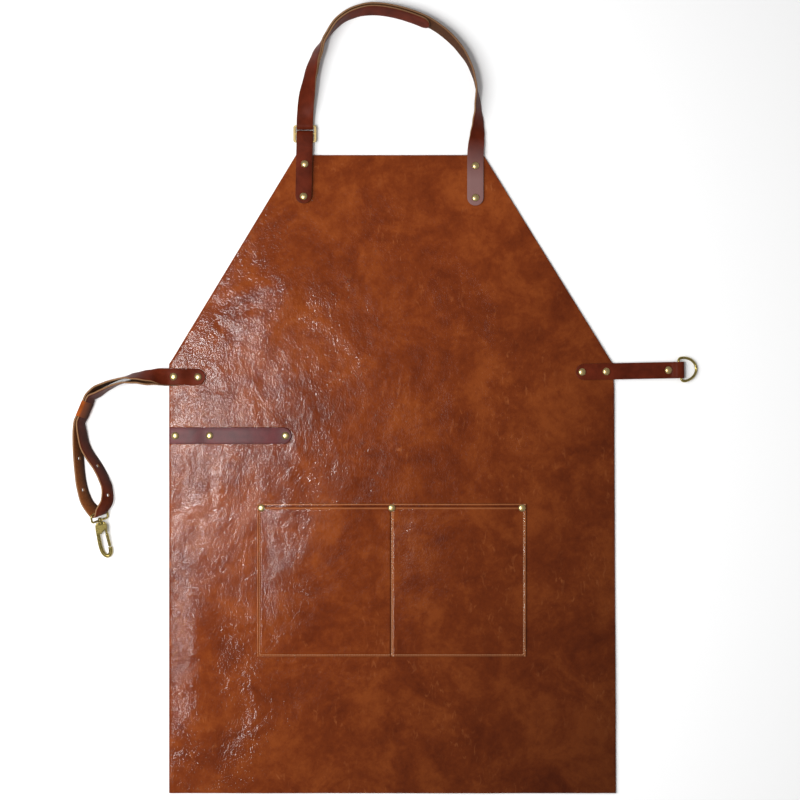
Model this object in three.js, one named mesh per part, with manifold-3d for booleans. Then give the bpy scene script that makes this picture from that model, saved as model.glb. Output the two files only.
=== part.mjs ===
// Leather work apron laid on its back: panel, double pocket, tool strip, neck strap with slide,
// doubled left waist strap with swivel hook, right waist strap with ring, and brass rivets.
// Millimetres, +Z up. The origin is on the panel's back, on its centre line at the height of the waist.
import * as THREE from "three";
import { mergeVertices } from "three/addons/utils/BufferGeometryUtils.js";
import Module from "manifold-3d";

const wasm = await Module();
wasm.setup();

// Driving dimensions
const GAP = 0.3;
const PANEL = { thick: 2, columns: 21, rowPitch: 30 };
const RIVETED_LIFT = 1.3;
const POCKET = {
  left: -181,
  right: 180,
  top: -173,
  foot: -378,
  thick: 1.8,
  bulge: 8,
  hem: 12,
  sideRamp: 45,
  footHem: 4,
  footRamp: 86,
  columns: 10,
  rows: 10,
};
const STRAP = { width: 22, thick: 2.5, step: 8 };
const ROUND_TIP = [15, 35, 55, 75, 90];
const FLOOR_CLEAR = 0.05;
const FOLD_CLEAR = 0.2;
const TOOL_STRIP_Y = -81.5;
const SLIDE = {
  x: -116.9,
  y: 323.7,
  wide: 31,
  tall: 23.3,
  bar: 3,
  side: 3.4,
  bevel: 0.5,
  foldRadius: 3.4,
  slack: 0.45,
};
const KEEPER = {
  topX: -408.1,
  topY: -35,
  footX: -417.4,
  footY: -57,
  lift: 4.2,
  lean: 113,
  apart: 3.3,
  wall: 1.6,
  play: 0.4,
};
const RING = {
  x: 386.7,
  y: 6.7,
  wire: 1.75,
  half: 15.75,
  depth: 22.5,
  corner: 4,
  turn: 9,
  foldRadius: 3.3,
  slack: 1.6,
};
const EYE = {
  x: -392.3,
  y: -184.9,
  z: 14.2,
  wire: 1.5,
  wide: 28,
  deep: 10,
  corner: 3,
  lean: 20,
  roll: 45,
  swing: 16.2,
  foldRadius: 8,
};
const HOOK = {
  stud: 1.5,
  studHead: 2.6,
  studHeadHigh: 1.3,
  boss: 3,
  bossHalf: 1.9,
  collar: 3.9,
  collarFoot: -5.5,
  thick: 4.4,
  shankHalf: 2.4,
  bevel: 0.5,
  tongue: 1.6,
  pin: 0.9,
  pinInset: 0.8,
};
const HOLE_RADIUS = 2;
const RIVET = {
  cap: 5,
  dome: 2.2,
  rim: 0.5,
  post: 1.9,
  back: 4.5,
  backThick: 0.9,
  backRound: 0.3,
  clear: 0.35,
  sides: 14,
};

// Heights that follow from them, above the surface that the apron lies on
const PANEL_TOP = RIVETED_LIFT + PANEL.thick;
const ON_PANEL = PANEL_TOP + GAP;
const ON_STRAP = ON_PANEL + STRAP.thick + GAP;
const SLIDE_Z = SLIDE.foldRadius + STRAP.thick / 2 + FOLD_CLEAR;
const RING_Z = RING.foldRadius + STRAP.thick / 2 + FOLD_CLEAR;

// Left and right edges of the panel, from the hem to the top of the bib
const PANEL_EDGE = [
  { y: -562, left: -299.5, right: 301 },
  { y: -20, left: -299.5, right: 298.5 },
  { y: 15, left: -299.5, right: 297 },
  { y: 20, left: -296, right: 293.5 },
  { y: 295.5, left: -129, right: 123 },
];

// Places where the panel lies level on its rivets' backs
const LEVEL = [
  { x: -118, y: 262, halfX: 34, halfY: 60 },
  { x: 112, y: 262, halfX: 34, halfY: 60 },
  { x: -285, y: -2, halfX: 62, halfY: 42 },
  { x: 285, y: 4, halfX: 62, halfY: 42 },
  { x: -222, y: -81, halfX: 125, halfY: 42 },
  { x: 0, y: -275, halfX: 215, halfY: 140 },
];
const LEVEL_FADE = 60;

// Low swells of the leather: centre, direction, half length, half width and height
const SWELLS = [
  { x: -262, y: -390, turn: 84, long: 190, wide: 55, high: 4.5 },
  { x: -150, y: -500, turn: 70, long: 150, wide: 80, high: 3 },
  { x: 90, y: -520, turn: 100, long: 130, wide: 90, high: 3.5 },
  { x: 262, y: -380, turn: 95, long: 180, wide: 52, high: 4 },
  { x: -150, y: 120, turn: 58, long: 150, wide: 55, high: 3.5 },
  { x: 135, y: 130, turn: 112, long: 150, wide: 60, high: 3 },
  { x: 0, y: 250, turn: 8, long: 90, wide: 50, high: 2.5 },
  { x: 215, y: -110, turn: 20, long: 110, wide: 55, high: 3 },
];
const REST_HALF = 85;

// Neck strap from its root on the right, over the arch and down to the slide.
// Lift is the lowest edge's height, lean is 0 lying flat with the grain up and 90 standing on edge.
const NECK_ROUTE = [
  { x: 112, y: 227.5, lift: ON_PANEL, lean: 0 },
  { x: 112, y: 262, lift: ON_PANEL, lean: 0 },
  { x: 112.2, y: 297, lift: ON_PANEL, lean: 3 },
  { x: 112.9, y: 308, lift: 3, lean: 13 },
  { x: 114.3, y: 322, lift: 1.9, lean: 29 },
  { x: 115.3, y: 338, lift: 0.9, lean: 48 },
  { x: 115.2, y: 358, lift: 0, lean: 68 },
  { x: 112.4, y: 390, lift: 0, lean: 90 },
  { x: 104.6, y: 415, lift: 0, lean: 97 },
  { x: 91.3, y: 437, lift: 0, lean: 106 },
  { x: 69.8, y: 459, lift: 0, lean: 111 },
  { x: 41, y: 477, lift: 0, lean: 115 },
  { x: 3.4, y: 489.2, lift: 0, lean: 115 },
  { x: -27.8, y: 492.6, lift: 0, lean: 115 },
  { x: -51.2, y: 488, lift: 0, lean: 109 },
  { x: -71.6, y: 476.5, lift: 0, lean: 101 },
  { x: -90.8, y: 452.6, lift: 0, lean: 88 },
  { x: -101.3, y: 430.4, lift: 2, lean: 62 },
  { x: -108.7, y: 403.5, lift: 4.4, lean: 42 },
  { x: -114.1, y: 369.9, lift: 6.4, lean: 18 },
  { x: -116.6, y: 346, lift: 7, lean: 0 },
];
const NECK_TAIL = [
  { x: -116.6, y: 346, lift: 0.2, lean: 0 },
  { x: -115.2, y: 369.9, lift: 0.2, lean: 18 },
  { x: -108.4, y: 402.9, lift: 0, lean: 42 },
  { x: -98.8, y: 429.4, lift: 0, lean: 63 },
  { x: -88.1, y: 450.9, lift: 0, lean: 88 },
  { x: -69.4, y: 474, lift: 0, lean: 101 },
  { x: -50, y: 484.7, lift: 0, lean: 109 },
  { x: -27.7, y: 489, lift: 0, lean: 115 },
  { x: 2.6, y: 485.6, lift: 0, lean: 115 },
  { x: 39.5, y: 473.7, lift: 0, lean: 115 },
  { x: 50.2, y: 467.8, lift: 0, lean: 115 },
];

// Rows of the waist strap where the keeper holds its layers straight: inset from the outer layer, shares
// of the keeper's length, and the way the strap runs
function keeperRows(inset, shares, way = 1) {
  const heading = new THREE.Vector3(KEEPER.footX - KEEPER.topX, KEEPER.footY - KEEPER.topY, 0).normalize();
  return shares.map((share) => ({
    x: THREE.MathUtils.lerp(KEEPER.topX, KEEPER.footX, share) - heading.y * inset,
    y: THREE.MathUtils.lerp(KEEPER.topY, KEEPER.footY, share) + heading.x * inset,
    lift: KEEPER.lift,
    lean: KEEPER.lean,
    heading: heading.clone().multiplyScalar(way),
  }));
}

// Left waist strap: out from its root, through the keeper and down the outer leg
const WAIST_ROUTE = [
  { x: -250.5, y: -2.7, lift: ON_PANEL, lean: 0 },
  { x: -268, y: -2.7, lift: ON_PANEL, lean: 0 },
  { x: -285, y: -2.5, lift: ON_STRAP, lean: 0 },
  { x: -300, y: -2.1, lift: ON_STRAP, lean: 0 },
  { x: -306, y: -2, lift: ON_STRAP, lean: 6 },
  { x: -325.5, y: -0.8, lift: 3.4, lean: 50 },
  { x: -345.2, y: -1.5, lift: 1, lean: 70 },
  { x: -359.7, y: -3.6, lift: 0, lean: 88 },
  { x: -385.2, y: -12.4, lift: 1.2, lean: 98 },
  { x: -398.2, y: -20, lift: 3, lean: 106 },
  ...keeperRows(0, [-0.25, 0, 1, 1.25]),
  { x: -421, y: -78, lift: 3.2, lean: 115 },
  { x: -420.6, y: -101, lift: 1.4, lean: 117 },
  { x: -418.7, y: -128.4, lift: 0, lean: 117 },
  { x: -415.4, y: -151, lift: 0, lean: 119 },
  { x: -408.6, y: -171.5, lift: 0, lean: 125 },
];
// The same strap back up the inner leg, through the keeper and under its own root
const WAIST_RETURN = [
  { x: -381.2, y: -169, lift: 8, lean: 128 },
  { x: -381.4, y: -151.5, lift: 4, lean: 121 },
  { x: -386.4, y: -138.5, lift: 1.5, lean: 118 },
  { x: -394, y: -123.7, lift: 0, lean: 117 },
  { x: -404, y: -108.9, lift: 0.8, lean: 117 },
  { x: -411, y: -96, lift: 1.8, lean: 117 },
  { x: -414.8, y: -79, lift: 3.2, lean: 115 },
  ...keeperRows(KEEPER.apart, [1.25, 1, 0, -0.25], -1),
  { x: -393.8, y: -26, lift: 3, lean: 106 },
  { x: -380.4, y: -18, lift: 1.2, lean: 98 },
  { x: -362.6, y: -10.6, lift: 0, lean: 90 },
  { x: -345.3, y: -8.6, lift: 0, lean: 80 },
  { x: -324.6, y: -7, lift: 0.6, lean: 56 },
  { x: -311, y: -3.6, lift: 2.6, lean: 18 },
  { x: -304, y: -3.6, lift: ON_PANEL, lean: 2 },
  { x: -298, y: -3.6, lift: ON_PANEL, lean: 0 },
  { x: -281, y: -3.6, lift: ON_PANEL, lean: 0 },
];
// Punched holes, as distances along the strap from the fold in the hook's eye
const WAIST_HOLES = [-88, -46, 33, 75];

// Free ends of the two folded straps, then distance from the end and height of the strap's underside,
// first for the upper layer and then for the lower
const RIGHT_END = { x: 247, y: 3.9 };
const TAB_END = { x: -118.8, y: 230 };
const RIGHT_UPPER = [
  { along: 0, lift: ON_PANEL },
  { along: 30, lift: ON_PANEL },
  { along: 55, lift: ON_PANEL },
  { along: 80, lift: ON_PANEL },
  { along: 105, lift: 4.1 },
  { along: 119, lift: 4.1 },
  { along: 129, lift: 4.1 },
  { along: 136, lift: RING_Z + RING.foldRadius - STRAP.thick / 2 },
];
const RIGHT_LOWER = [
  { along: 136, lift: RING_Z - RING.foldRadius - STRAP.thick / 2 },
  { along: 129, lift: 1.3 },
  { along: 112, lift: 1.3 },
];
const TAB_UPPER = [
  { along: 0, lift: ON_STRAP },
  { along: 35, lift: ON_STRAP },
  { along: 62, lift: ON_STRAP },
  { along: 72, lift: ON_STRAP + 0.2 },
  { along: 82, lift: SLIDE_Z + SLIDE.foldRadius - STRAP.thick / 2 },
];
const TAB_LOWER = [
  { along: 82, lift: 0.2 },
  { along: 74, lift: 1.5 },
  { along: 66, lift: ON_PANEL - 0.1 },
  { along: 60, lift: ON_PANEL },
  { along: 35, lift: ON_PANEL },
  { along: 3, lift: ON_PANEL },
];
const STRIP_ARCHES = [
  { x: -299, rise: 0 },
  { x: -291, rise: 0 },
  { x: -284, rise: 0 },
  { x: -268, rise: 4 },
  { x: -252, rise: 0 },
  { x: -245, rise: 0 },
  { x: -238, rise: 0 },
  { x: -216, rise: 4.8 },
  { x: -194, rise: 6.6 },
  { x: -172, rise: 4.8 },
  { x: -150, rise: 0 },
  { x: -143, rise: 0 },
  { x: -135, rise: 0 },
];

// Rivets: place, height of what the cap sits on
const STRAP_TOP = ON_PANEL + STRAP.thick;
const DOUBLE_TOP = ON_STRAP + STRAP.thick;
const POCKET_TOP = ON_PANEL + POCKET.thick;
const FOLD_TOP = RIGHT_UPPER[5].lift + STRAP.thick;
const RIVETS = [
  { name: "rivet_neck_left_top", x: -117, y: 283, seat: DOUBLE_TOP },
  { name: "rivet_neck_left_low", x: -118.5, y: 239.5, seat: DOUBLE_TOP },
  { name: "rivet_neck_right_top", x: 112, y: 281, seat: STRAP_TOP },
  { name: "rivet_neck_right_low", x: 112, y: 238, seat: STRAP_TOP },
  { name: "rivet_waist_left_inner", x: -260.5, y: -2.7, seat: STRAP_TOP },
  { name: "rivet_waist_left_outer", x: -293, y: -2.3, seat: DOUBLE_TOP },
  { name: "rivet_waist_right_inner", x: 255, y: 4, seat: STRAP_TOP },
  { name: "rivet_waist_right_outer", x: 287.5, y: 4.6, seat: STRAP_TOP },
  { name: "rivet_ring_fold", x: 371, y: 6.4, seat: FOLD_TOP },
  { name: "rivet_tool_edge", x: -291, y: TOOL_STRIP_Y, seat: STRAP_TOP },
  { name: "rivet_tool_middle", x: -245, y: TOOL_STRIP_Y, seat: STRAP_TOP },
  { name: "rivet_tool_end", x: -143, y: TOOL_STRIP_Y, seat: STRAP_TOP },
  { name: "rivet_pocket_left", x: -175.5, y: -178.5, seat: POCKET_TOP },
  { name: "rivet_pocket_middle", x: -0.5, y: -178.5, seat: POCKET_TOP },
  { name: "rivet_pocket_right", x: 174.5, y: -178.5, seat: POCKET_TOP },
];

// Finishes
const FINISH = {
  panelLeather: { color: 0x82411e, roughness: 0.4, metalness: 0 },
  strapLeather: { color: 0x5a2519, roughness: 0.35, metalness: 0 },
  keeperLeather: { color: 0xb45523, roughness: 0.5, metalness: 0 },
  rivetBrass: { color: 0xd8bf72, roughness: 0.25, metalness: 1 },
  hookBrass: { color: 0x8c7832, roughness: 0.35, metalness: 1 },
};

const UP = new THREE.Vector3(0, 0, 1);
const radians = THREE.MathUtils.degToRad;

// Solids for joining and cutting
function solidOf(geometry) {
  const bare = geometry.clone();
  bare.deleteAttribute("normal");
  bare.deleteAttribute("uv");
  const merged = mergeVertices(bare, 1e-4);
  const vertProperties = new Float32Array(merged.attributes.position.array);
  const triVerts = new Uint32Array(merged.index.array);
  return new wasm.Manifold(new wasm.Mesh({ numProp: 3, vertProperties, triVerts }));
}

function geometryOf(solid) {
  const mesh = solid.getMesh();
  const geometry = new THREE.BufferGeometry();
  geometry.setAttribute("position", new THREE.BufferAttribute(new Float32Array(mesh.vertProperties), 3));
  geometry.setIndex(new THREE.BufferAttribute(new Uint32Array(mesh.triVerts), 1));
  geometry.computeVertexNormals();
  return geometry;
}

function closedGeometry(points, triangles) {
  const geometry = new THREE.BufferGeometry();
  geometry.setFromPoints(points);
  geometry.setIndex(triangles);
  geometry.computeVertexNormals();
  return geometry;
}

// A cylinder between two points
function rod(from, to, radius, sides = 12) {
  const along = new THREE.Vector3().subVectors(to, from);
  const geometry = new THREE.CylinderGeometry(radius, radius, along.length(), sides);
  const upright = new THREE.Vector3(0, 1, 0);
  const turn = new THREE.Quaternion().setFromUnitVectors(upright, along.clone().normalize());
  geometry.applyQuaternion(turn);
  geometry.translate(...new THREE.Vector3().addVectors(from, to).multiplyScalar(0.5).toArray());
  return geometry;
}

function block(center, size) {
  const geometry = new THREE.BoxGeometry(...size);
  geometry.translate(...center);
  return geometry;
}

// A sheet on a grid of columns and rows: place gives the point on its lower face
function sheetGeometry(columns, rows, thick, place) {
  const points = [];
  const triangles = [];
  const at = (i, j, layer) => (layer * (rows + 1) + j) * (columns + 1) + i;
  const quad = (a, b, c, d) => triangles.push(a, b, c, a, c, d);
  for (const layer of [0, 1]) {
    for (let j = 0; j <= rows; j += 1) {
      for (let i = 0; i <= columns; i += 1) {
        const point = place(i, j);
        point.z += layer * thick;
        points.push(point);
      }
    }
  }
  for (let j = 0; j < rows; j += 1) {
    for (let i = 0; i < columns; i += 1) {
      quad(at(i, j, 1), at(i + 1, j, 1), at(i + 1, j + 1, 1), at(i, j + 1, 1));
      quad(at(i, j, 0), at(i, j + 1, 0), at(i + 1, j + 1, 0), at(i + 1, j, 0));
    }
  }
  for (let i = 0; i < columns; i += 1) {
    quad(at(i, 0, 0), at(i + 1, 0, 0), at(i + 1, 0, 1), at(i, 0, 1));
    quad(at(i + 1, rows, 0), at(i, rows, 0), at(i, rows, 1), at(i + 1, rows, 1));
  }
  for (let j = 0; j < rows; j += 1) {
    quad(at(0, j + 1, 0), at(0, j, 0), at(0, j, 1), at(0, j + 1, 1));
    quad(at(columns, j, 0), at(columns, j + 1, 0), at(columns, j + 1, 1), at(columns, j, 1));
  }
  return closedGeometry(points, triangles);
}

// Height of the panel's underside: swells away from the rivets, level near them, flat at the origin
const bell = (q) => (Math.abs(q) < 1 ? Math.cos((q * Math.PI) / 2) ** 2 : 0);
const outside = (offset, half) => Math.max(0, Math.abs(offset) - half);

function swellHeight(x, y) {
  let height = 0;
  for (const swell of SWELLS) {
    const turn = radians(swell.turn);
    const along = (x - swell.x) * Math.cos(turn) + (y - swell.y) * Math.sin(turn);
    const across = (y - swell.y) * Math.cos(turn) - (x - swell.x) * Math.sin(turn);
    height += swell.high * bell(along / swell.long) * bell(across / swell.wide);
  }
  const rest = Math.hypot(outside(x, REST_HALF), outside(y, REST_HALF));
  return height * THREE.MathUtils.smoothstep(rest, 0, LEVEL_FADE);
}

function panelHeight(x, y) {
  let level = 0;
  for (const zone of LEVEL) {
    const away = Math.hypot(outside(x - zone.x, zone.halfX), outside(y - zone.y, zone.halfY));
    level = Math.max(level, 1 - THREE.MathUtils.smoothstep(away, 0, LEVEL_FADE));
  }
  return RIVETED_LIFT * level + swellHeight(x, y) * (1 - level);
}

function panelRows() {
  const rows = [];
  for (let k = 1; k < PANEL_EDGE.length; k += 1) {
    const low = PANEL_EDGE[k - 1];
    const high = PANEL_EDGE[k];
    const count = Math.ceil((high.y - low.y) / PANEL.rowPitch);
    for (let step = k === 1 ? 0 : 1; step <= count; step += 1) {
      const part = step / count;
      rows.push({
        y: THREE.MathUtils.lerp(low.y, high.y, part),
        left: THREE.MathUtils.lerp(low.left, high.left, part),
        right: THREE.MathUtils.lerp(low.right, high.right, part),
      });
    }
  }
  return rows;
}

function panelSheet() {
  const rows = panelRows();
  return sheetGeometry(PANEL.columns, rows.length - 1, PANEL.thick, (i, j) => {
    const x = THREE.MathUtils.lerp(rows[j].left, rows[j].right, i / PANEL.columns);
    return new THREE.Vector3(x, rows[j].y, panelHeight(x, rows[j].y));
  });
}

// Each half of the pocket stands off the panel between its seams, most at the mouth
function pocketSheet() {
  const middle = (POCKET.left + POCKET.right) / 2;
  const spread = (step, count) => (1 - Math.cos((Math.PI * step) / count)) / 2;
  return sheetGeometry(2 * POCKET.columns, POCKET.rows, POCKET.thick, (i, j) => {
    const half = i < POCKET.columns ? 0 : 1;
    const from = half === 0 ? POCKET.left : middle;
    const to = half === 0 ? middle : POCKET.right;
    const x = THREE.MathUtils.lerp(from, to, spread(i - half * POCKET.columns, POCKET.columns));
    const y = THREE.MathUtils.lerp(POCKET.foot, POCKET.top, spread(j, POCKET.rows));
    const side = Math.min(x - from, to - x);
    const across = THREE.MathUtils.smoothstep(side, POCKET.hem, POCKET.hem + POCKET.sideRamp);
    const hemTop = POCKET.foot + POCKET.footHem;
    const up = THREE.MathUtils.smoothstep(y, hemTop, hemTop + POCKET.footRamp);
    return new THREE.Vector3(x, y, ON_PANEL + POCKET.bulge * across * up);
  });
}

// Rows of a strap's route become guides: a centre point and the direction across the strap.
// Outward is to the right of travel on the way out and to the left on the way back.
function routeGuides(rows, outward) {
  return rows.map((row, k) => {
    const before = rows[Math.max(0, k - 1)];
    const after = rows[Math.min(rows.length - 1, k + 1)];
    const chord = new THREE.Vector3(after.x - before.x, after.y - before.y, 0).normalize();
    const heading = row.heading ?? chord;
    const out = new THREE.Vector3(heading.y, -heading.x, 0).multiplyScalar(outward);
    const lean = radians(row.lean);
    const across = out.multiplyScalar(-Math.cos(lean)).addScaledVector(UP, Math.sin(lean));
    const halfHeight = (STRAP.width / 2) * Math.sin(lean) + (STRAP.thick / 2) * Math.abs(Math.cos(lean));
    return { point: new THREE.Vector3(row.x, row.y, row.lift + halfHeight), across };
  });
}

// The turn of a strap round a bar: it starts on the side away from rise, passes ahead of the bar
// and ends on the side of rise
function foldGuides(center, ahead, rise, across, radius, from, to, steps) {
  const guides = [];
  for (let k = 0; k <= steps; k += 1) {
    const turn = radians(THREE.MathUtils.lerp(from, to, k / steps));
    const point = center.clone();
    point.addScaledVector(rise, -radius * Math.cos(turn));
    point.addScaledVector(ahead, radius * Math.sin(turn));
    guides.push({ point, across: across.clone() });
  }
  return guides;
}

// Smooth stations through the guides, no more than a step apart, with rounded ends
function stripStations(guides, roundStart, roundEnd) {
  const points = guides.map((guide) => guide.point);
  const sideways = guides.map((guide) => guide.across);
  const path = new THREE.CatmullRomCurve3(points, false, "centripetal");
  const sides = new THREE.CatmullRomCurve3(sideways, false, "catmullrom", 0.5);
  path.arcLengthDivisions = 1500;
  const lengths = path.getLengths();
  const length = path.getLength();
  const radius = STRAP.width / 2;
  const spans = guides.length - 1;
  const marks = [];
  for (let k = 0; k < spans; k += 1) {
    const steps = Math.max(1, Math.round(guides[k].point.distanceTo(guides[k + 1].point) / STRAP.step));
    for (let step = 0; step < steps; step += 1) {
      const t = (k + step / steps) / spans;
      const along = lengths[Math.round(t * path.arcLengthDivisions)];
      marks.push({ t, along, half: radius });
    }
  }
  const tipRoom = 2;
  const endRoom = 1;
  const keepFrom = roundStart ? radius + tipRoom : endRoom;
  const keepTo = length - (roundEnd ? radius + tipRoom : endRoom);
  const kept = marks.filter((mark) => mark.along > keepFrom && mark.along < keepTo);
  const tip = (angle) => ({ inset: radius * (1 - Math.cos(angle)), half: radius * Math.sin(angle) });
  const round = ROUND_TIP.map((angle) => tip(radians(angle)));
  const square = [{ inset: 0, half: radius }];
  for (const end of roundStart ? round : square) {
    kept.push({ t: path.getUtoTmapping(end.inset / length), along: end.inset, half: end.half });
  }
  for (const end of roundEnd ? round : square) {
    const along = length - end.inset;
    kept.push({ t: path.getUtoTmapping(along / length), along, half: end.half });
  }
  kept.sort((a, b) => a.along - b.along);
  return kept.map((mark) => {
    const tangent = path.getTangent(mark.t);
    const across = sides.getPoint(mark.t);
    across.addScaledVector(tangent, -across.dot(tangent)).normalize();
    const grain = new THREE.Vector3().crossVectors(tangent, across);
    const point = path.getPoint(mark.t);
    const low = point.z - mark.half * Math.abs(across.z) - (STRAP.thick / 2) * Math.abs(grain.z);
    point.z += Math.max(0, FLOOR_CLEAR - low);
    return { along: mark.along, half: mark.half, point, across, grain };
  });
}

// A solid band through stations, with room all round for a keeper or its bore
function bandGeometry(stations, thick, margin = 0) {
  const points = [];
  const triangles = [];
  const corners = [[-1, -1], [1, -1], [1, 1], [-1, 1]];
  for (const station of stations) {
    for (const [side, face] of corners) {
      const point = station.point.clone();
      point.addScaledVector(station.across, side * (station.half + margin));
      point.addScaledVector(station.grain, face * (thick / 2 + margin));
      points.push(point);
    }
  }
  const last = 4 * (stations.length - 1);
  triangles.push(0, 2, 1, 0, 3, 2);
  triangles.push(last, last + 1, last + 2, last, last + 2, last + 3);
  for (let k = 0; k < stations.length - 1; k += 1) {
    for (let c = 0; c < 4; c += 1) {
      const a = 4 * k + c;
      const b = 4 * k + ((c + 1) % 4);
      triangles.push(a, b + 4, a + 4, a, b, b + 4);
    }
  }
  return closedGeometry(points, triangles);
}

// Holes for the rivets that pass through a piece
function rivetHoles(names) {
  const radius = RIVET.post + GAP;
  return RIVETS.filter((rivet) => names.some((name) => rivet.name.includes(name))).map((rivet) => {
    const foot = new THREE.Vector3(rivet.x, rivet.y, -DOUBLE_TOP);
    const head = new THREE.Vector3(rivet.x, rivet.y, 2 * DOUBLE_TOP);
    return solidOf(rod(foot, head, radius, RIVET.sides));
  });
}

function cutBy(geometry, cutters) {
  let solid = solidOf(geometry);
  for (const cutter of cutters) {
    solid = solid.subtract(cutter);
  }
  return geometryOf(solid);
}

function neckStrap() {
  const bar = new THREE.Vector3(SLIDE.x, SLIDE.y + (SLIDE.tall - SLIDE.bar) / 2 - SLIDE.slack, SLIDE_Z);
  const ahead = new THREE.Vector3(0, -1, 0);
  const across = new THREE.Vector3(1, 0, 0);
  const fold = foldGuides(bar, ahead, UP.clone().negate(), across, SLIDE.foldRadius, 0, 180, 6);
  const guides = [...routeGuides(NECK_ROUTE, 1), ...fold, ...routeGuides(NECK_TAIL, -1)];
  return cutBy(bandGeometry(stripStations(guides, true, true), STRAP.thick), rivetHoles(["neck_right"]));
}

// A strap riveted down at its free end and folded round a bar straight ahead
function foldedStrap(start, bar, radius, upper, lower, rivetNames) {
  const ahead = new THREE.Vector3(bar.x - start.x, bar.y - start.y, 0).normalize();
  const across = new THREE.Vector3(-ahead.y, ahead.x, 0);
  const guide = (row) => {
    const point = new THREE.Vector3(start.x, start.y, row.lift + STRAP.thick / 2);
    return { point: point.addScaledVector(ahead, row.along), across: across.clone() };
  };
  const fold = foldGuides(bar, ahead, UP.clone().negate(), across, radius, 0, 180, 6);
  const guides = [...upper.map(guide), ...fold, ...lower.map(guide)];
  return cutBy(bandGeometry(stripStations(guides, true, true), STRAP.thick), rivetHoles(rivetNames));
}

function neckTab() {
  const bar = new THREE.Vector3(SLIDE.x, SLIDE.y, SLIDE_Z);
  return foldedStrap(TAB_END, bar, SLIDE.foldRadius, TAB_UPPER, TAB_LOWER, ["neck_left"]);
}

function rightStrap() {
  const bar = new THREE.Vector3(RING.x + RING.slack, RING.y, RING_Z);
  const names = ["waist_right", "ring_fold"];
  return foldedStrap(RIGHT_END, bar, RING.foldRadius, RIGHT_UPPER, RIGHT_LOWER, names);
}

function toolStrip() {
  const guides = STRIP_ARCHES.map((row) => ({
    point: new THREE.Vector3(row.x, TOOL_STRIP_Y, ON_PANEL + row.rise + STRAP.thick / 2),
    across: new THREE.Vector3(0, 1, 0),
  }));
  return cutBy(bandGeometry(stripStations(guides, false, true), STRAP.thick), rivetHoles(["tool"]));
}

// Directions at the hook's eye: its bar, the way it points when level, and the way it lies at rest
const eyeLean = radians(EYE.lean);
const eyeRoll = radians(EYE.roll);
const eyeSwing = radians(EYE.swing);
const eyeSide = new THREE.Vector3(Math.cos(eyeLean), Math.sin(eyeLean), 0);
const eyeAhead = new THREE.Vector3(Math.sin(eyeLean), -Math.cos(eyeLean), 0);
const eyeBar = eyeSide.clone().multiplyScalar(Math.cos(eyeRoll)).addScaledVector(UP, -Math.sin(eyeRoll));
const eyeRise = eyeSide.clone().multiplyScalar(Math.sin(eyeRoll)).addScaledVector(UP, Math.cos(eyeRoll));
const hookAhead = eyeAhead.clone().multiplyScalar(Math.cos(eyeSwing));
hookAhead.addScaledVector(eyeRise, -Math.sin(eyeSwing));
const eyePlace = new THREE.Vector3(EYE.x, EYE.y, EYE.z);

function waistStations() {
  const bite = EYE.foldRadius - STRAP.thick / 2 - GAP - EYE.wire;
  const center = eyePlace.clone().addScaledVector(eyeAhead, -bite);
  const across = eyeBar.clone().negate();
  const fold = foldGuides(center, eyeAhead, eyeRise, across, EYE.foldRadius, 25, 155, 4);
  const guides = [...routeGuides(WAIST_ROUTE, 1), ...fold, ...routeGuides(WAIST_RETURN, -1)];
  return stripStations(guides, true, true);
}

function waistStrap() {
  const stations = waistStations();
  const distance = (station) => station.point.distanceTo(eyePlace);
  const nearest = stations.reduce((best, station) => (distance(station) < distance(best) ? station : best));
  const holes = WAIST_HOLES.map((offset) => {
    const wanted = nearest.along + offset;
    const gapTo = (station) => Math.abs(station.along - wanted);
    const spot = stations.reduce((best, station) => (gapTo(station) < gapTo(best) ? station : best));
    const from = spot.point.clone().addScaledVector(spot.grain, -STRAP.thick);
    const to = spot.point.clone().addScaledVector(spot.grain, STRAP.thick);
    return solidOf(rod(from, to, HOLE_RADIUS, 10));
  });
  return cutBy(bandGeometry(stations, STRAP.thick), [...holes, ...rivetHoles(["waist_left"])]);
}

// The keeper is a straight band round both layers, bored for them
function keeper() {
  const [top, foot] = routeGuides(keeperRows(KEEPER.apart / 2, [0, 1]), 1);
  const tangent = new THREE.Vector3().subVectors(foot.point, top.point).normalize();
  const grain = new THREE.Vector3().crossVectors(tangent, top.across);
  const half = STRAP.width / 2 + (KEEPER.apart / 2) * Math.abs(Math.cos(radians(KEEPER.lean)));
  const station = (share) => ({
    point: new THREE.Vector3().lerpVectors(top.point, foot.point, share),
    half,
    across: top.across,
    grain,
  });
  const thick = STRAP.thick + KEEPER.apart * Math.sin(radians(KEEPER.lean));
  const body = solidOf(bandGeometry([station(0.05), station(0.95)], thick, KEEPER.play + KEEPER.wall));
  const bore = solidOf(bandGeometry([station(-1), station(2)], thick, KEEPER.play));
  return geometryOf(body.subtract(bore));
}

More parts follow.
